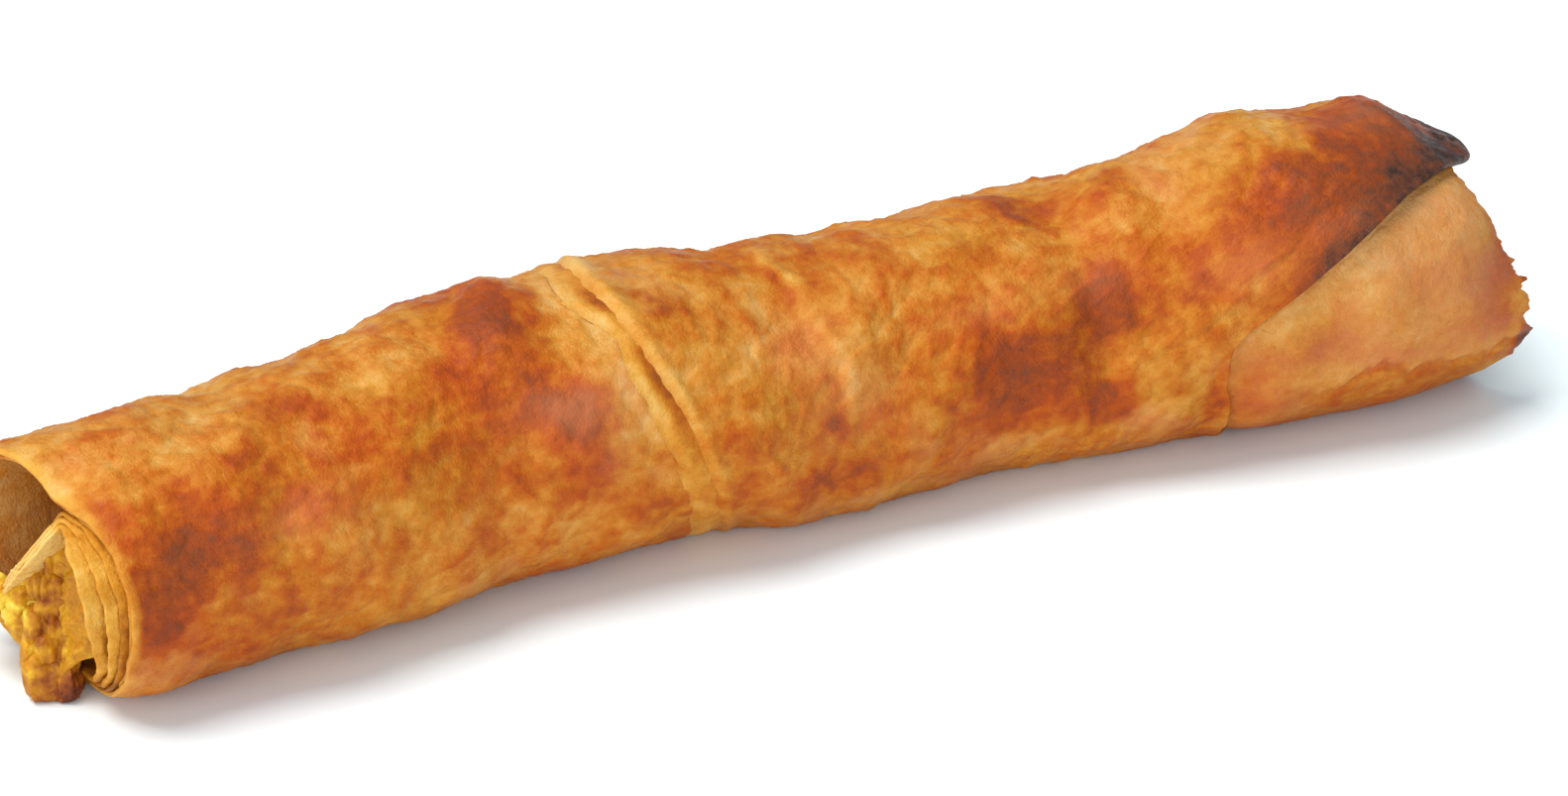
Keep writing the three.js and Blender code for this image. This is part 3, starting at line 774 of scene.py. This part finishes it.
# %% Collar
def collar(count=250, rows=40):
    """First wrapped sheet, from its own edge to 7 mm under the sleeve."""
    turn = turns(count)
    start = collar_edge(turn)
    x = rows_between(start, np.maximum(start + 5, sleeve_edge(turn) + 7), rows)
    from_edge = x - start
    cover = smoothstep((x - sleeve_edge(turn)) / STEP_RUN)
    soft = bell(from_edge / 2.0)
    lip = 0.16 * bell((from_edge - 2.0) / 1.2) * (1 + 0.8 * grain(20, turn, 5, 111))
    relief = 0.5 * crust_relief(x, turn, 110) * (1 - cover) * smoothstep(from_edge / 3)
    ramp = 0.30 * bell((x - sleeve_edge(turn) - 0.2) / 1.6)
    reach = (skin(x, turn) + COLLAR_THICK - 0.74 * soft + ramp + lip * (1 - cover)
             + np.clip(relief, -0.3, 0.4) - 0.1 * cover)
    thick = 0.85 - 0.68 * soft
    xs, reaches, deep = sheet_profile(x, reach, thick)
    covered = SLEEVE_THICK * smoothstep((xs - sleeve_edge(turn)) / STEP_RUN)
    points = put(xs, turn, reaches, covered + deep * 0.85)
    shown = smoothstep((degrees_from(0, turn) - 5) / 30) * smoothstep((130 - degrees_from(0, turn)) / 30)
    crest = bell((xs - start - 1.0) / (1.5 + 0.6 * grain(22, turn, 6, 112))) * lerp(0.2, 0.85, shown)
    crest = crest * np.clip(0.85 + 0.7 * grain(24, turn, 5, 113, octaves=2), 0.3, 1)
    # Painted shade: the collar is darkened in the narrow gap just left of the sleeve's edge, at two turns.
    painted_gap_shade = bell((sleeve_edge(turn) - 0.4 - xs) / 1.3) * (near(turn, 74, 9) + near(turn, 33, 16))
    toast = lerp(0.40 + mottling(xs, turn, 110), 0.10, crest) + 0.34 * painted_gap_shade
    return dough_sheet("collar", points, toast, raw=0.35)


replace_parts(collar(), "pastry")

# %% Sleeve and flap
CURL = {"lift": 0.8, "length": 7, "turn": 56, "spread": 44}


def scorched(x, turn):
    """Share that is burnt, from 0 to 1: a band along the flap's edge that widens towards the raised
    tip, where it is charcoal."""
    away = np.maximum(flap_edge(turn) - x, 0)
    ragged = 1 + 0.45 * grain(x, turn, 5, 121, octaves=3)
    up = degrees_from(0, turn)
    width = lerp(4.0, 17.0, smoothstep((up - 15) / 30)) * ragged
    along = smoothstep((up - 6) / 26) * (0.55 * bell(away / width) + 0.33 * bell(away / (0.35 * width)))
    tip = bell(away / (9.5 * ragged)) * near(turn, 84, 20)
    return np.clip((along + 0.75 * tip) * smoothstep((165 - up) / 50), 0, 1)


WRINKLE = [  # [turn, place along x]
    (-20, 9.5), (2, 9.0), (30, 9.6), (52, 7.2), (70, 6.2), (84, 3.8), (100, 3.4),
]


def wrinkle(x, turn):
    """A low soft wrinkle across the sleeve: its strength, which is greatest near the top, and how far
    a place lies past its crest."""
    up = degrees_from(0, turn)
    shown = smoothstep((up + 15) / 30) * smoothstep((105 - up) / 30)
    strength = shown * (0.75 + 0.5 * grain(30, turn, 6, 127))
    return strength, x - through(WRINKLE, up) - 0.6 * grain(50, turn, 7, 128, octaves=2)


def sleeve(count=250, rows=330):
    """Second wrapped sheet, from its bead to the flap's edge."""
    turn = turns(count)
    start, end = sleeve_edge(turn), flap_edge(turn)
    x = rows_between(start, end - 0.3, rows)
    from_edge, to_flap = x - start, end - x
    up = degrees_from(0, turn)
    broad = lerp(1.3, 2.7, smoothstep((up - 50) / 20))
    uneven = 1 + 0.6 * grain(10, turn, 7, 122, octaves=2)
    soft = bell(from_edge / 1.5)
    past_crest = from_edge - 1.6
    bead = 0.45 * uneven * np.where(past_crest < 0, bell(past_crest), bell(past_crest / broad))
    curl = CURL["lift"] * bell(to_flap / CURL["length"]) * near(turn, CURL["turn"], CURL["spread"])
    thinned = 1 - 0.4 * bell(to_flap / 9)
    folded, across_fold = wrinkle(x, turn)
    fold = folded * (0.40 * bell(across_fold / 1.3) - 0.30 * bell((across_fold + 2.6) / 1.5))
    relief = crust_relief(x, turn, 120) * smoothstep((from_edge - 1.2) / 3) * smoothstep(to_flap / 2)
    reach = skin(x, turn) + WRAP * thinned + bead - 0.95 * soft + curl + np.minimum(relief + fold, 0.85)
    lip = near(turn, 82, 22) * bell(to_flap / 2.2)
    thick = SLEEVE_THICK - 0.9 * soft + 1.1 * lip + 0 * x
    xs, reaches, deep = sheet_profile(x, reach, thick)
    points = put(xs, turn, reaches, deep * SLEEVE_THICK)
    pale = lerp(0.3, 0.95, smoothstep((up - 5) / 40)) * smoothstep((135 - up) / 30)
    pale = pale * np.clip(0.85 + 0.6 * grain(14, turn, 6, 126, octaves=2), 0.3, 1)
    crest = bell((xs - start - 1.3) / (broad + 0.5 * grain(12, turn, 5, 125, octaves=2))) * pale
    folded, across_fold = wrinkle(xs, turn)
    # Along the wrinkle the crest is paler, and the groove beside it is darkened a little as painted shade.
    toast = toasted(xs, turn, 120) + folded * (
        0.06 * bell((across_fold + 2.6) / 2.0)
        - 0.24 * bell(across_fold / 1.3) * np.clip(0.8 + 0.9 * grain(xs, turn, 5, 129), 0.1, 1.2))
    toast = lerp(toast, 0.12 + 0.08 * grain(30, turn, 9, 123), crest)
    burnt = scorched(xs, turn)
    toast = lerp(toast, 0.97 + 0.06 * grain(xs, turn, 3, 124), burnt)
    toast = lerp(toast, 0.35, 0.9 * smoothstep(deep * 1.5) * (1 - burnt))
    # Painted sheen: a pinkish haze on the outer face where the glossy crust reflects white light.
    blush = patches(SHEEN_PATCHES, xs, turn) * (1 - burnt) * (1 - crest)
    return dough_sheet("sleeve", points, toast, blush, 0.4 * crest + 0.1 * folded * bell(across_fold / 1.2))


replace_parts(sleeve(), "pastry")

# %% [markdown]
# ## The inner sheet under the flap
# Behind the flap the inner roll shows again. That sheet was covered while it baked, so it stays cream
# and smooth, with a blush where it touched the heat, a browned lower edge and a torn, flaky rim.

# %% Right rim
RIGHT_RIM = [  # [turn, place along x]
    (-180, 122), (-120, 121.5), (-70, 122.5), (-24, 125), (4, 126.5), (19, 125), (37, 121.5), (61, 117.5),
    (90, 118.5), (130, 121), (180, 122),
]


RIGHT_LIMIT = 127.0   # nothing reaches further to the right


def right_rim(turn):
    """The torn rim: a smooth line with ragged teeth, and one burnt tab at the front."""
    line = through(RIGHT_RIM, degrees_from(0, turn))
    ragged = near(turn, 12, 22)
    teeth = np.abs(grain(60, turn, 3.2, 131, octaves=2)) + 0.5 * np.abs(grain(61, turn, 1.3, 133))
    tab = 3.4 * near(turn, -15, 5) ** 2
    line = line - 1.2 * ragged - (1.1 + 0.9 * ragged) * teeth
    return np.minimum(line + 0.3 * np.sin(9 * turn) + 0.5 + tab, RIGHT_LIMIT)


def right_skin(count=250, rows=150):
    """Skin of the inner roll from 10 mm under the flap to the right mouth."""
    turn = turns(count)
    end = right_rim(turn)
    x = rows_between(np.minimum(flap_edge(turn) - 10, end - 12), end, rows)
    cover = under_wrap(x, turn)
    bare = 1 - smoothstep(cover / 0.5)
    relief = 0.55 * crust_relief(x, turn, 130) * bare
    torn = 0.25 * grain(x, turn, 3, 132, octaves=2) * bell((end - x) / 3)
    torn = torn - 0.5 * bell(below_crack(x, turn) / 2.0) * smoothstep((x - 84) / 8) * bare
    reach = skin(x, turn) + np.clip(relief, -0.6, 0.6) + torn - 0.1 * (cover > 0)
    thick = 0.9 - 0.35 * bell((end - x) / 2.5)
    xs, reaches, deep = sheet_profile(x, reach, thick)
    points = put(xs, turn, reaches, under_wrap(xs, turn) + deep * 0.9)
    under = near(turn, -90, 42)
    rim = bell((xs - end) / 2.0)
    tab = near(turn, -15, 7) * smoothstep((xs - 123.6) / 1.2)
    below = below_crack(xs, turn)
    reached = smoothstep((xs - 84) / 8)
    toast = (0.21 + patches(INNER_BROWNING_AND_PAINTED_LIGHT, xs, turn) + 0.5 * mottling(xs, turn, 130) + 0.12 * rim
             + reached * (0.20 * bell(below / 2.0)
                          + (0.22 + mottling(xs, turn, 135)) * smoothstep(below / 3)))
    toast = lerp(toast, toasted(xs, turn, 130), smoothstep((np.abs(degrees_from(30, turn)) - 60) / 30))
    toast = np.clip(lerp(toast, 0.6, 0.7 * under), 0.04, 0.9)
    toast = lerp(toast, 0.28, 0.8 * smoothstep(deep * 1.5))
    toast = lerp(toast, 1.0, tab)
    blush = (0.42 + patches(INNER_BLUSHED, xs, turn)) * (1 - deep) * (1 - reached * smoothstep(below / 3))
    return dough_sheet("right_skin", points, toast, blush)


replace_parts(right_skin(), "pastry")

# %% [markdown]
# ## Nested sheets in the right mouth
# Inside the right rim lie the inner windings, each a little further in than the one outside it. Every
# one is a thin sheet of its own, wavy and torn, so that dark gaps open between them.

# %% Right layers
def right_layer(k, count=220, rows=34):
    """The k-th winding inward from the right skin."""
    turn = turns(count)
    flakes = (k < 4) * (3.4 * near(turn, 27 - 4 * k, 2.6) + 3.6 * near(turn, 15 - 3 * k, 2.0))
    end = right_rim(turn) - 0.7 * k - 0.9 * np.abs(grain(90 + 7 * k, turn, 4, 140 + k, octaves=2)) + flakes
    end = np.minimum(end, RIGHT_LIMIT - 0.1)
    x = rows_between(end - 26, end, rows)
    wave = 0.28 * grain(x * 0.4, turn, 9, 150 + k, octaves=2) * bell((end - x) / 9)
    depth = 1.05 * k
    reach = skin(x, turn) - depth + wave
    thick = 0.62 - 0.2 * bell((end - x) / 2)
    xs, reaches, deep = sheet_profile(x, reach, thick)
    points = put(xs, turn, reaches, depth + deep * 0.6)
    toast = 0.22 + 0.20 * grain(xs, turn, 7, 160 + k, octaves=2) + 0.36 * bell((xs - end) / 1.2)
    toast = np.clip(toast, 0.03, 0.8)
    return dough_sheet(f"right_layer_{k}", points, toast, raw=0.3)


for k in range(1, 5):
    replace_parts(right_layer(k), "pastry")

# %% [markdown]
# ## The left mouth
# Two sheets go all the way round the left mouth: the skin and a liner inside it. The next three form an
# inner roll of their own that sank as it baked. It follows the wall along the bottom and front, leaves it
# at a pinch near the top, and crosses the mouth back down, so its section is a D that holds the filling.
# Above it a dark hollow is left. The D is an arc and the crossing line, evenly resampled and smoothed.

# %% Liner
def thinned_wall(turn):
    """1 where the inner sheets have left the wall of the left mouth, 0 where they line it."""
    return 1 - smoothstep((np.abs(degrees_from(140, turn)) - 74) / 30)


def stagger(turn):
    """How far each layer stands out past the one outside it, in millimetres."""
    return lerp(0.4, 2.1, near(turn, 14, 50) * (1 - thinned_wall(turn)))


LINER_DEPTH, LINER_THICK = 1.12, 0.65


def liner(count=240, rows=64):
    """Second winding of the left mouth, just inside the skin."""
    turn = turns(count)
    start = left_rim(turn) + lerp(0.3, -0.2, near(turn, 5, 45)) + 0.2 * grain(3, turn, 4, 171, octaves=2)
    x = rows_between(start, start + 30, rows)
    wave = 0.12 * grain(x * 0.5, turn, 8, 172, octaves=2)
    reach = skin(left_rim(turn), turn) * 0.5 + skin(x, turn) * 0.5 - LINER_DEPTH + wave
    thick = LINER_THICK + 0 * x
    xs, reaches, deep = sheet_profile(x, reach, thick)
    points = put(xs, turn, reaches, LINER_DEPTH + deep * LINER_THICK)
    inside = smoothstep(deep * 1.5)
    toast = 0.34 + 0.14 * grain(xs, turn, 5, 173, octaves=2)
    lit = near(turn, 158, 52) * bell((xs - start) / 16)
    inner = 0.30 - 0.20 * lit + 0.16 * grain(xs, turn, 6, 174, octaves=2)
    toast = np.clip(lerp(toast, inner, inside * smoothstep((xs - start) / 2)), 0, 1)
    return dough_sheet("left_liner", points, toast, 0.4 * inside * (1 - lit), 0.6 - 0.6 * inside)


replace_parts(liner(), "pastry")

# %% Section of the sunken inner roll
CROSSING = [(-6.2, 12.0), (-5.0, 9.0), (-3.4, 6.2), (-0.8, 2.6), (3.0, -1.6), (7.4, -5.4), (12.4, -9.6)]
WALL_MIDDLE = 3.1     # the stack's middle lies this far inside the skin
LOOP = 320


def resampled(points, count):
    """Evenly spaced points along a line that closes on itself, by its length."""
    line = np.vstack([points, points[:1]])
    along = np.r_[0, np.cumsum(np.linalg.norm(np.diff(line, axis=0), axis=1))]
    at = np.linspace(0, along[-1], count, endpoint=False)
    return np.stack([np.interp(at, along, line[:, c]) for c in (0, 1)], 1)


def smoothed(values, reach):
    """Average over a window that closes round the loop: a bell of a reach in points."""
    offsets = np.arange(-3 * reach, 3 * reach + 1)
    weights = bell(offsets / reach)
    return sum(w * np.roll(values, o, axis=0) for w, o in zip(weights / weights.sum(), offsets))


def sunken_section():
    """Middle line of the D as [across, up], its outward normals, and how far each point belongs
    to the crossing, from 0 to 1."""
    arc = np.radians(np.linspace(-130, 60, 140))
    down = -np.sin(arc)
    flattened = np.where(down > SIT, SIT / np.maximum(down, 0.1), 1)
    reach = (skin(left_rim(arc), arc) - WALL_MIDDLE) * flattened
    wall = np.stack([-WIDE * reach * np.cos(arc), reach * np.sin(arc)], 1)
    line = np.array(CROSSING)
    t = np.linspace(0, 1, 60)[:, None]
    pieces = [lerp(a, b, t[:-1]) for a, b in zip(line[:-1], line[1:])]
    section = smoothed(resampled(np.vstack([wall, *pieces]), LOOP), 4)
    ahead, behind = np.roll(section, -1, axis=0), np.roll(section, 1, axis=0)
    way = (ahead - behind) / np.linalg.norm(ahead - behind, axis=1, keepdims=True)
    normal = np.stack([-way[:, 1], way[:, 0]], 1)
    middle = section.mean(0)
    if np.sum((section - middle) * normal) < 0:
        normal = -normal
    turn = np.arctan2(section[:, 1], -section[:, 0] / WIDE)
    radius = np.hypot(section[:, 0] / WIDE, section[:, 1])
    crossing = smoothed(smoothstep((skin(left_rim(turn), turn) - WALL_MIDDLE - radius - 0.8) / 2.0), 4)
    return section, normal, turn, crossing


section, section_normal, section_turn, crossing_share = sunken_section()
print("inner roll's section is", np.ptp(section[:, 0]).round(1), "by", np.ptp(section[:, 1]).round(1), "mm")

# %% Sunken sheets
BY_WALL, CROSSING_THICK = 0.78, 0.58    # thickness of a sunken sheet at the wall and in the crossing


def sunken_sheet(k, rows=46):
    """The k-th sheet of the sunken inner roll, 0 outermost: the D moved along its normals."""
    turn, share = section_turn[:, None], crossing_share[:, None]
    wall_front = left_rim(turn) - 0.75 * (0.9, 2.1, 3.8)[k] * stagger(turn)
    up = section[:, [1]]
    cross_front = lerp(-114.8, -119.6, smoothstep((14 - up) / 15)) - 0.25 * k
    front = lerp(wall_front, cross_front, share) + 0.22 * grain(17 * k, turn, 4, 180 + k, octaves=2)
    x = rows_between(front, front + 22, rows)
    gap = lerp(lerp(0.80, (0.92, 0.92, 1.25)[k], near(turn, -22, 32)), 0.62, share)
    lens = 1.2 * near(turn, -6, 17) * (1 - share) * bell((x - front) / 9) * (k == 2)
    wave = 0.13 * grain(x * 0.5, turn, 7, 190 + k, octaves=2)
    frayed = 0.10 * grain(x * 2, turn, 2.2, 195 + k, octaves=2) * bell((x - front) / 4)
    usual = lerp(BY_WALL, CROSSING_THICK, share)
    lift = (1 - k) * gap + usual / 2 - lens + wave + frayed
    thick = usual + 0.16 * grain(20 * k, turn, 3, 197 + k, octaves=2) + 0 * x
    xs, lifts, deep = sheet_profile(x, lift, thick)
    across_up = section[:, None] + section_normal[:, None] * lifts[..., None]
    points = np.stack([xs, roll_bend(xs) + across_up[..., 0], SIT * roll_radius(xs) + across_up[..., 1]], -1)
    points[..., 2] = np.maximum(points[..., 2], 0.25)
    from_front = xs - front
    toast = lerp((0.50, 0.36, 0.32)[k] + 0.2 * (k == 0) * near(turn, -22, 30), 0.03, share)
    toast = toast + 0.16 * grain(xs, turn, 4, 200 + k, octaves=3)
    # Painted shade: the sheets darken further into the mouth, and the innermost sheet gets a dark line where
    # the front edge of the next sheet out lies over it.
    toast = toast + 0.40 * smoothstep((from_front - 1) / 7) * (1 - 0.6 * share)
    toast = toast + 0.55 * (k == 2) * bell((from_front - 2.1) / 0.7) * near(turn, -19, 7) * (1 - share)
    toast = toast + 0.35 * near(turn, -62, 22) * (1 - share)
    return dough_sheet(f"sunken_sheet_{k + 1}", points, np.clip(toast, 0.0, 0.9), raw=1)


for k in range(3):
    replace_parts(sunken_sheet(k), "pastry")

# %% [markdown]
# ## The filling
# The filling runs through the roll. At the left it is pushed out between the sheets, sags over the
# notched rim and lies on the tray as a tongue that browned at its tip. Its end is a cap: circles that
# shrink to the middle, each point pushed along x by the lobes. Gradient noise gives it its curds.

# %% Filling
LOBES = [  # [out, across, up, wide, high]
    (1.0, -3.6, -10, 6.0, 6.5), (2.0, 3.4, -3.4, 5.0, 4.2), (0.8, -8.5, -3.5, 4, 5),
]


WALL = 5              # dough between the filling and the inner roll's skin
RIGHT_FACE = 117      # place of the filling's right end
BODY = 108, -96       # between these the filling is a plain round bar


def from_middle(points, x):
    """How far points lie across from the roll's middle line at x, and above it."""
    return points[..., 1] - roll_bend(x), points[..., 2] - SIT * roll_radius(x)


def lower_side(across, up):
    """1 below the crossing sheets, 0 above them."""
    (a0, a1), (b0, b1) = CROSSING[1], CROSSING[5]
    side = (b1 - a1) * (across - a0) - (b0 - a0) * (up - a1)
    return smoothstep((side / np.hypot(b0 - a0, b1 - a1) + 1.2) / 2.4)


def filling_end(across, up):
    """Place along x of the filling's end: the slanted mouth with its lobes, or deep in the hollow."""
    lobes = [out * np.exp(-np.hypot((across - a) / w, (up - u) / h) ** 3) for out, a, u, w, h in LOBES]
    pushed = sum(lobe ** 4 for lobe in lobes) ** 0.25
    mouth = MOUTH_AT - MOUTH_SLANT * across / roll_radius(MOUTH_AT)
    return lerp(-104, mouth + 2.2 - pushed, lower_side(across, up))


def curd_relief(across, up):
    """Crumbly end face in millimetres: wide and fine noise, minus round domes of two sizes."""
    return (0.5 * grain(across * 1.3 + 40, up / 16, 3.4, 212, octaves=3)
            + 0.3 * grain(up * 1.2, across / 16, 2.2, 213)
            - 1.1 * blisters(across + 50, up / 21, 3.6, 0.75, 215)
            - 0.5 * blisters(across + 50, up / 21, 1.8, 0.6, 216))


def filling(count=220):
    """The filling as circles round the roll's middle, from the right dome to the left cap."""
    turn = turns(count).T

    def inside(x, share):
        gap = 0.35 + 0.6 * (1 - smoothstep((x - MOUTH_AT) / 21.7))
        reach = share * np.minimum(roll_radius(x) - WALL - gap, skin(x, turn) - WALL - 0.3)
        return put(x, turn, reach, WALL + gap)

    circles = []
    for share in np.sin(np.linspace(0.02, np.pi / 2, 46)):
        flat = inside(RIGHT_FACE + 0 * turn, share)
        crumbly = curd_relief(*from_middle(flat, RIGHT_FACE))
        dome = RIGHT_FACE - 0.4 - 4.5 * share ** 4 - 1.3 * crumbly * smoothstep((1 - share) * 12)
        circles.append(inside(dome + 0 * turn, share))
    for x in np.linspace(*BODY, 30):
        circles.append(inside(x + 0 * turn, 1.0))
    flat = inside(MOUTH_AT + 0 * turn, 1.0)
    rim = left_rim(turn) - 3 * stagger(turn)
    reach_x = np.maximum(filling_end(*from_middle(flat, MOUTH_AT)) + 0.8, rim)
    for t in np.linspace(0.25, 1, 10):
        circles.append(inside(lerp(BODY[1], reach_x, t), 1.0))
    for share in np.cos(np.linspace(0.02, 1, 62) * (np.pi / 2 - 0.02)):
        side, up = from_middle(inside(MOUTH_AT + 0 * turn, share), MOUTH_AT)
        x = filling_end(side, up)
        x = x + curd_relief(side, up) * (0.3 + 0.7 * smoothstep((1 - share) * 8))
        circle = inside(x, share)
        sag = 3.5 * smoothstep((rim - x - 1.8) / 2.8) * smoothstep((-6 - up) / 6)
        circle[..., 2] = np.maximum(circle[..., 2] - sag, 0.1 + 0.15 * (1 + grain(side, up / 10, 2, 214)))
        circles.append(circle)
    points = np.concatenate(circles)
    faces = capped_faces(len(points), count)
    points = np.vstack([points.reshape(-1, 3), points[0].mean(0), points[-1].mean(0)])
    side, up = from_middle(points, MOUTH_AT)
    left = points[:, 0] < 0
    fresh = left * bell((side - 4) / 5.5) * bell((up + 3.5) / 4.5)
    # The olive patch is partly the filling's own colour and partly painted shade, where it lies deeper behind
    # the band of sheets at the front.
    olive_and_shade = left * bell((side + 9) / 4) * bell((up - 2) / 8)
    # Painted shade: the filling is darker inside the roll, which darkens its face deep in the hollow above
    # the crossing sheets.
    painted_hollow_shade = smoothstep((points[:, 0] + 112) / 5) * smoothstep((105 - points[:, 0]) / 5)
    crumbs = curd_relief(side, up) * smoothstep((points[:, 0] - 105) / 5)
    toast = 0.36 - 0.34 * fresh + 0.18 * olive_and_shade + 0.26 * painted_hollow_shade + (0.05 + 0.14 * crumbs) * (1 - left)
    return mesh_piece("filling_piece", points, faces, {"toast": np.clip(toast, 0, 1)},
                      filling_material)


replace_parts(filling(), "filling")

# %% [markdown]
# ### The tongue on the tray
# Below the mouth the filling ran out and set in clots. Each clot is a closed ball with squared-off sides,
# roughened by noise and small domes, and they sit into one another and into the filling behind them.
# Their places are given along and towards the tongue's own face, which looks half to the left.

# %% Clots of filling
FACE_TURN = np.radians(25.7)
CLOT_FLOOR = 0.12     # a clot ends this far above the tray
CLOTS = [  # [along the face, towards it, height, half sizes along, towards and up]
    (-104.3, 51.5, 3.4, 3.4, 3.3, 4.4), (-101.1, 51.7, 2.5, 2.3, 3.2, 3.4),
    (-106.2, 50.9, 6.4, 1.7, 2.6, 3.6), (-103.2, 51.6, 8.0, 2.6, 2.9, 3.2),
    (-105.2, 50.6, 11.2, 2.3, 2.5, 3.4), (-101.0, 51.9, 7.0, 2.0, 2.4, 2.8),
    (-103.0, 50.9, 13.6, 2.4, 2.4, 2.8), (-101.2, 51.6, 11.4, 1.9, 2.4, 2.4),
    (-101.6, 51.0, 17.2, 2.2, 2.2, 3.2), (-104.2, 49.4, 17.4, 2.2, 2.3, 2.8),
    (-101.6, 51.2, 22.4, 1.7, 2.0, 3.0), (-103.2, 49.8, 21.2, 1.6, 2.0, 2.6),
    (-109.9, 45.9, 14.0, 2.5, 2.6, 2.4), (-107.2, 48.0, 14.4, 2.3, 2.4, 2.8),
    (-106.0, 48.2, 18.2, 2.0, 2.2, 2.4), (-108.6, 46.6, 11.2, 2.2, 2.6, 2.3),
    (-112.8, 43.4, 11.8, 2.6, 2.4, 2.4), (-104.8, 47.0, 4.5, 3.0, 3.0, 4.0),
]


def clot(k, count=72, rows=44):
    """A superellipsoid: the cube-like power 0.7 of cosines and sines of latitude and turn, times its
    half sizes, moved along its radius by noise. Both poles are closed by fans."""
    along, towards, height, *half = CLOTS[k]
    turn = turns(count).T
    tilt = np.linspace(-np.pi / 2, np.pi / 2, rows + 2)[1:-1, None]

    def squared(v):
        return np.sign(v) * np.abs(v) ** 0.7

    unit = np.stack([squared(np.cos(tilt)) * squared(np.cos(turn)),
                     squared(np.cos(tilt)) * squared(np.sin(turn)), squared(np.sin(tilt)) + 0 * turn], -1)
    fade = np.cos(tilt) ** 0.5
    rough = fade * (0.8 * grain(tilt * 9 + 20 * k, turn, 24, 230 + k, octaves=4)
                    + 0.45 * blisters(tilt * 9 + 40 + 20 * k, turn, 15, 0.8, 240 + k))
    local = unit * half * (1 + rough[..., None] / np.mean(half))
    local = np.concatenate([local.reshape(-1, 3), [[0, 0, -half[2]], [0, 0, half[2]]]])
    face = local[:, 0] + along, local[:, 1] + towards
    x = np.cos(FACE_TURN) * face[0] - np.sin(FACE_TURN) * face[1]
    across = -np.sin(FACE_TURN) * face[0] - np.cos(FACE_TURN) * face[1]
    z = height + local[:, 2]
    z = (z + CLOT_FLOOR + np.sqrt((z - CLOT_FLOOR) ** 2 + 0.2 ** 2)) / 2
    points = np.stack([x, across + roll_bend(x), z], -1)
    tip = bell((face[0] + 100.6) / 2.6) * bell((z - 2.2) / 3.4)
    lemon = bell((face[0] + 110.2) / 2.6) * bell((z - 14) / 4)
    green = bell((face[0] + 101.6) / 3) * smoothstep((z - 9) / 4)
    toast = (0.40 + 0.26 * grain(face[0] * 2, z / 10, 5, 260, octaves=3) + 0.5 * tip - 0.36 * lemon
             + 0.12 * green + 0.25 * bell(z / 1.4) + 0.10 * bell((face[0] + 104) / 3) * bell((z - 9) / 7))
    return mesh_piece(f"filling_clot_{k + 1}", points, capped_faces(rows, count),
                      {"toast": np.clip(toast, 0, 1)}, filling_material)


for k in range(len(CLOTS)):
    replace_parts(clot(k), "filling")
